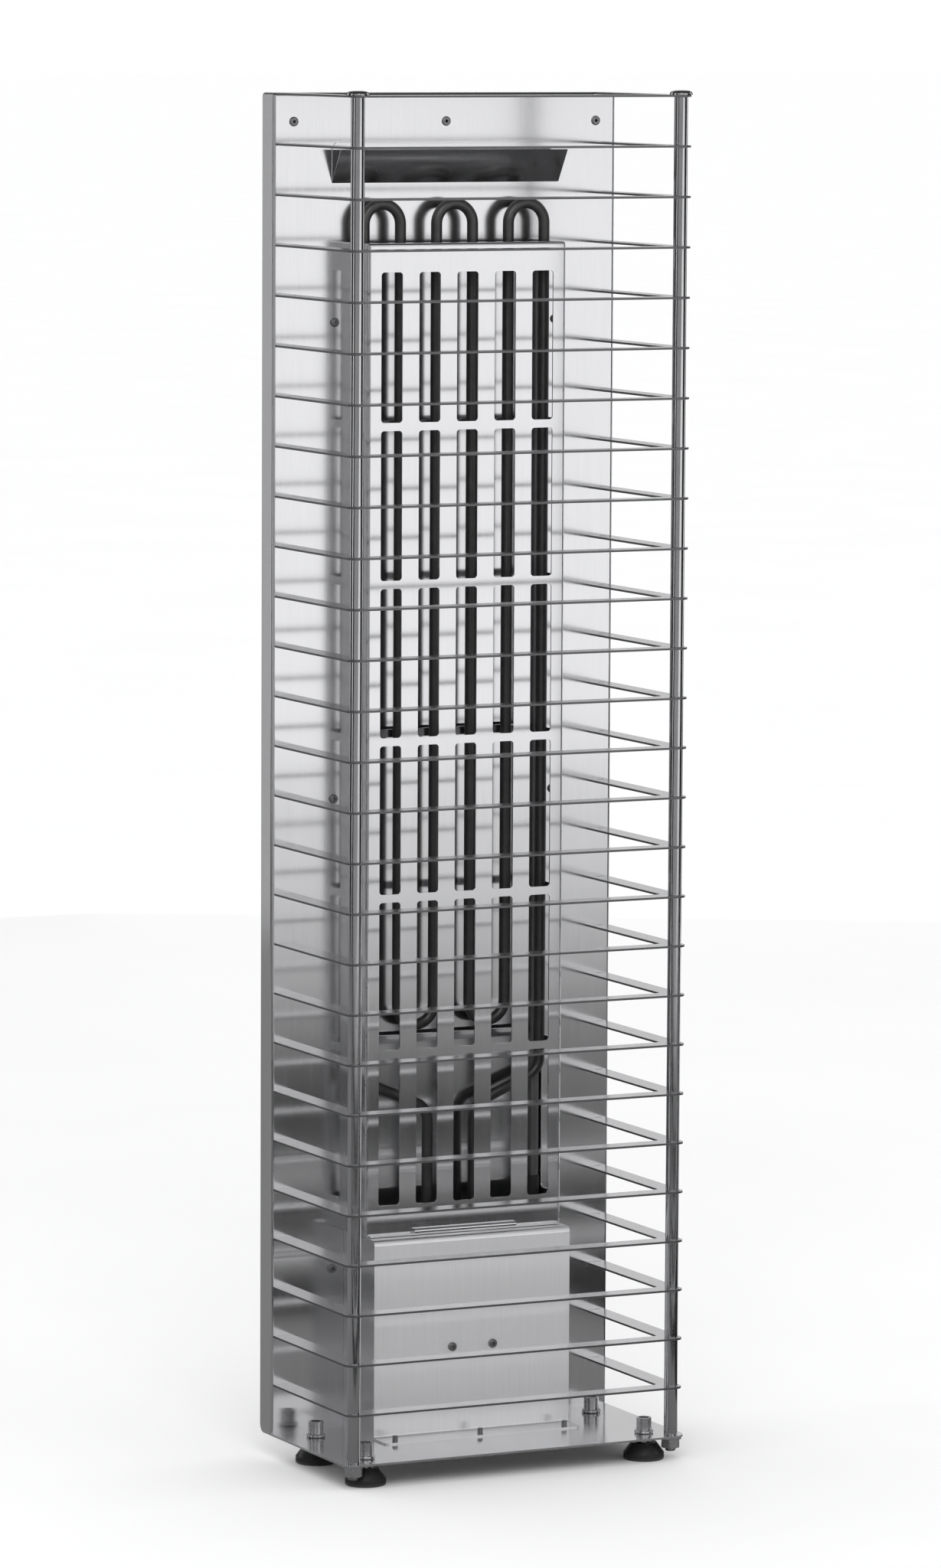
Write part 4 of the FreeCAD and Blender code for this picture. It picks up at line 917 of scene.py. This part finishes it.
@dataclass
class Studio:
    """The pale floor, the soft light, the cards that shiny surfaces reflect, and the camera."""

    floor_size: float = 160.0
    floor_colour: Colour = (0.94, 0.94, 0.945)
    floor_roughness: float = 0.75
    floor_clouds: float = 3.0
    floor_shade: float = 0.02
    sky: float = 1.05
    card_roughness: float = 0.9
    ceiling_half: float = 3.1
    ceiling_height: float = 3.0
    ceiling_grey: float = 0.05
    key_at: Triple = (-1.6, -3.6, 3.2)
    key_aim: Triple = (0.0, 0.0, 0.5)
    key_size: tuple[float, float] = (2.4, 2.0)
    key_power: float = 60.0
    eye: Triple = (-2.31647, -4.76881, 1.08075)
    yaw: float = 0.4513
    pitch: float = 0.1089
    roll: float = 0.005
    lens: float = 167.2
    sensor: float = 36.0
    clip: tuple[float, float] = (0.1, 100.0)

    FLOOR_CARDS: ClassVar[tuple[FloorCard, ...]] = (
        FloorCard(-0.05, 0.45, 0.18, right=0.35),
        FloorCard(-0.05, 0.45, 0.02, left=0.35),
        FloorCard(-4.0, -0.05, 0.2, left=-6.0, right=-0.16),
        FloorCard(0.45, 0.69, 0.02),
        FloorCard(0.73, 1.07, 0.02),
        FloorCard(1.12, 1.75, 0.02, right=0.78),
        FloorCard(1.12, 1.75, 0.14, left=0.78),
        FloorCard(1.75, 2.15, 0.16),
        FloorCard(2.15, 2.8, 0.38),
        FloorCard(2.8, 4.2, 0.6),
    )
    SIDE_CARDS: ClassVar[tuple[SideCard, ...]] = (
        SideCard(-36, 34, 0.3),
        SideCard(-56, -36, 0.03),
        SideCard(-104, -68, 0.02),
        SideCard(-140, -112, 0.36),
        SideCard(-172, -140, 0.03),
        SideCard(68, 112, 0.02),
        SideCard(130, 168, 0.03),
        SideCard(168, 188, 0.55),
    )
    # far off to the front right and above the heater's top, where level faces reflect it
    FAR_CARD: ClassVar[SideCard] = SideCard(30, 75, 0.40, away=6.0, low=1.02)

    def card(self, name: str, corners: list[Triple], grey: float) -> None:
        """A flat card that only shiny surfaces see.

        Args:
            name: the card's name.
            corners: its corners in order.
            grey: how light it is.
        """
        mesh = bpy.data.meshes.new(name)
        mesh.from_pydata([Vector(corner) for corner in corners], [], [(0, 1, 2, 3)])
        graph = Graph(name)
        graph.surface(Base_Color=opaque((grey, grey, grey)), Roughness=self.card_roughness,
                      Specular_IOR_Level=0.0)
        mesh.materials.append(graph.material)
        piece = bpy.data.objects.new(name, mesh)
        bpy.context.scene.collection.objects.link(piece)
        piece.visible_camera = False
        piece.visible_diffuse = False
        piece.visible_shadow = False
        piece.visible_transmission = False

    def cards(self) -> None:
        """The cards on the floor, round the heater and above it."""
        for number, card in enumerate(self.FLOOR_CARDS):
            self.card(f"floor_card_{number}", card.corners(), card.grey)
        heading = math.atan2(self.eye[1], self.eye[0])
        for number, card in enumerate(self.SIDE_CARDS):
            self.card(f"side_card_{number}", card.corners(heading), card.grey)
        self.card("far_card", self.FAR_CARD.corners(heading), self.FAR_CARD.grey)
        half, height = self.ceiling_half, self.ceiling_height
        self.card("ceiling_card", [(-half, -half, height), (half, -half, height), (half, half, height),
                                   (-half, half, height)], self.ceiling_grey)

    def floor(self) -> None:
        """The pale floor, with faint cloudy changes of tone."""
        half = self.floor_size / 2
        mesh = bpy.data.meshes.new("floor")
        mesh.from_pydata([(-half, -half, 0), (half, -half, 0), (half, half, 0), (-half, half, 0)], [],
                         [(0, 1, 2, 3)])
        graph = Graph("pale_floor")
        tone = graph.noise(graph.place(), self.floor_clouds, detail=3.0)
        tint = graph.blend(tone, opaque(self.floor_colour, 1 - self.floor_shade),
                           opaque(self.floor_colour, 1 + self.floor_shade))
        graph.surface(Base_Color=tint, Roughness=self.floor_roughness)
        mesh.materials.append(graph.material)
        piece = bpy.data.objects.new("floor", mesh)
        bpy.context.scene.collection.objects.link(piece)

    def key_light(self) -> None:
        """A rectangular soft light from the front left, aimed at the heater's middle."""
        lamp = bpy.data.lights.new("key", "AREA")
        lamp.shape = "RECTANGLE"
        lamp.size, lamp.size_y = self.key_size
        lamp.energy = self.key_power
        at = Vector(self.key_at)
        thing = bpy.data.objects.new("key", lamp)
        thing.location = at
        thing.rotation_mode = "QUATERNION"
        thing.rotation_quaternion = (Vector(self.key_aim) - at).to_track_quat("-Z", "Y")
        bpy.context.scene.collection.objects.link(thing)

    def tones(self) -> None:
        """Plain display of light, so that a pale surround stays pale."""
        bpy.context.scene.view_settings.view_transform = "Standard"

    def camera(self) -> None:
        """The camera, from the front left and a little above."""
        ahead = Vector((math.sin(self.yaw) * math.cos(self.pitch), math.cos(self.yaw) * math.cos(self.pitch),
                        -math.sin(self.pitch)))
        right = Vector((math.cos(self.yaw), -math.sin(self.yaw), 0.0))
        up = right.cross(ahead)
        across = right * math.cos(self.roll) + up * math.sin(self.roll)
        upward = up * math.cos(self.roll) - right * math.sin(self.roll)
        turn = Matrix((across, upward, -ahead)).transposed().to_4x4()
        lens = bpy.data.cameras.new("camera")
        lens.lens = self.lens
        lens.sensor_width = self.sensor
        lens.clip_start, lens.clip_end = self.clip
        thing = bpy.data.objects.new("camera", lens)
        thing.matrix_world = Matrix.Translation(self.eye) @ turn
        bpy.context.scene.collection.objects.link(thing)
        bpy.context.scene.camera = thing

    def surroundings(self) -> None:
        """An even pale surround. It isn't sampled as a light, so cards hide it from shiny surfaces."""
        world = bpy.data.worlds.new("surround")
        bpy.context.scene.world = world
        world.use_nodes = True
        world.cycles.sampling_method = "NONE"
        backdrop = world.node_tree.nodes["Background"]
        backdrop.inputs["Color"].default_value = (1.0, 1.0, 1.0, 1.0)
        backdrop.inputs["Strength"].default_value = self.sky

    def build(self) -> None:
        """Make the floor, surround, cards, light and camera."""
        self.floor()
        self.surroundings()
        self.cards()
        self.key_light()
        self.camera()
        self.tones()
        LOG.info("studio")


def main() -> None:
    """Build the studio and each sub-assembly in order."""
    logging.basicConfig(level=logging.INFO, format="%(message)s")
    finishes = Finishes()
    Studio().build()
    Sheetwork(finishes).build()
    Cage(finishes).build()
    Feet(finishes).build()
    ElementTower(finishes).build()
    TerminalBox(finishes).build()


if __name__ == "__main__":
    main()
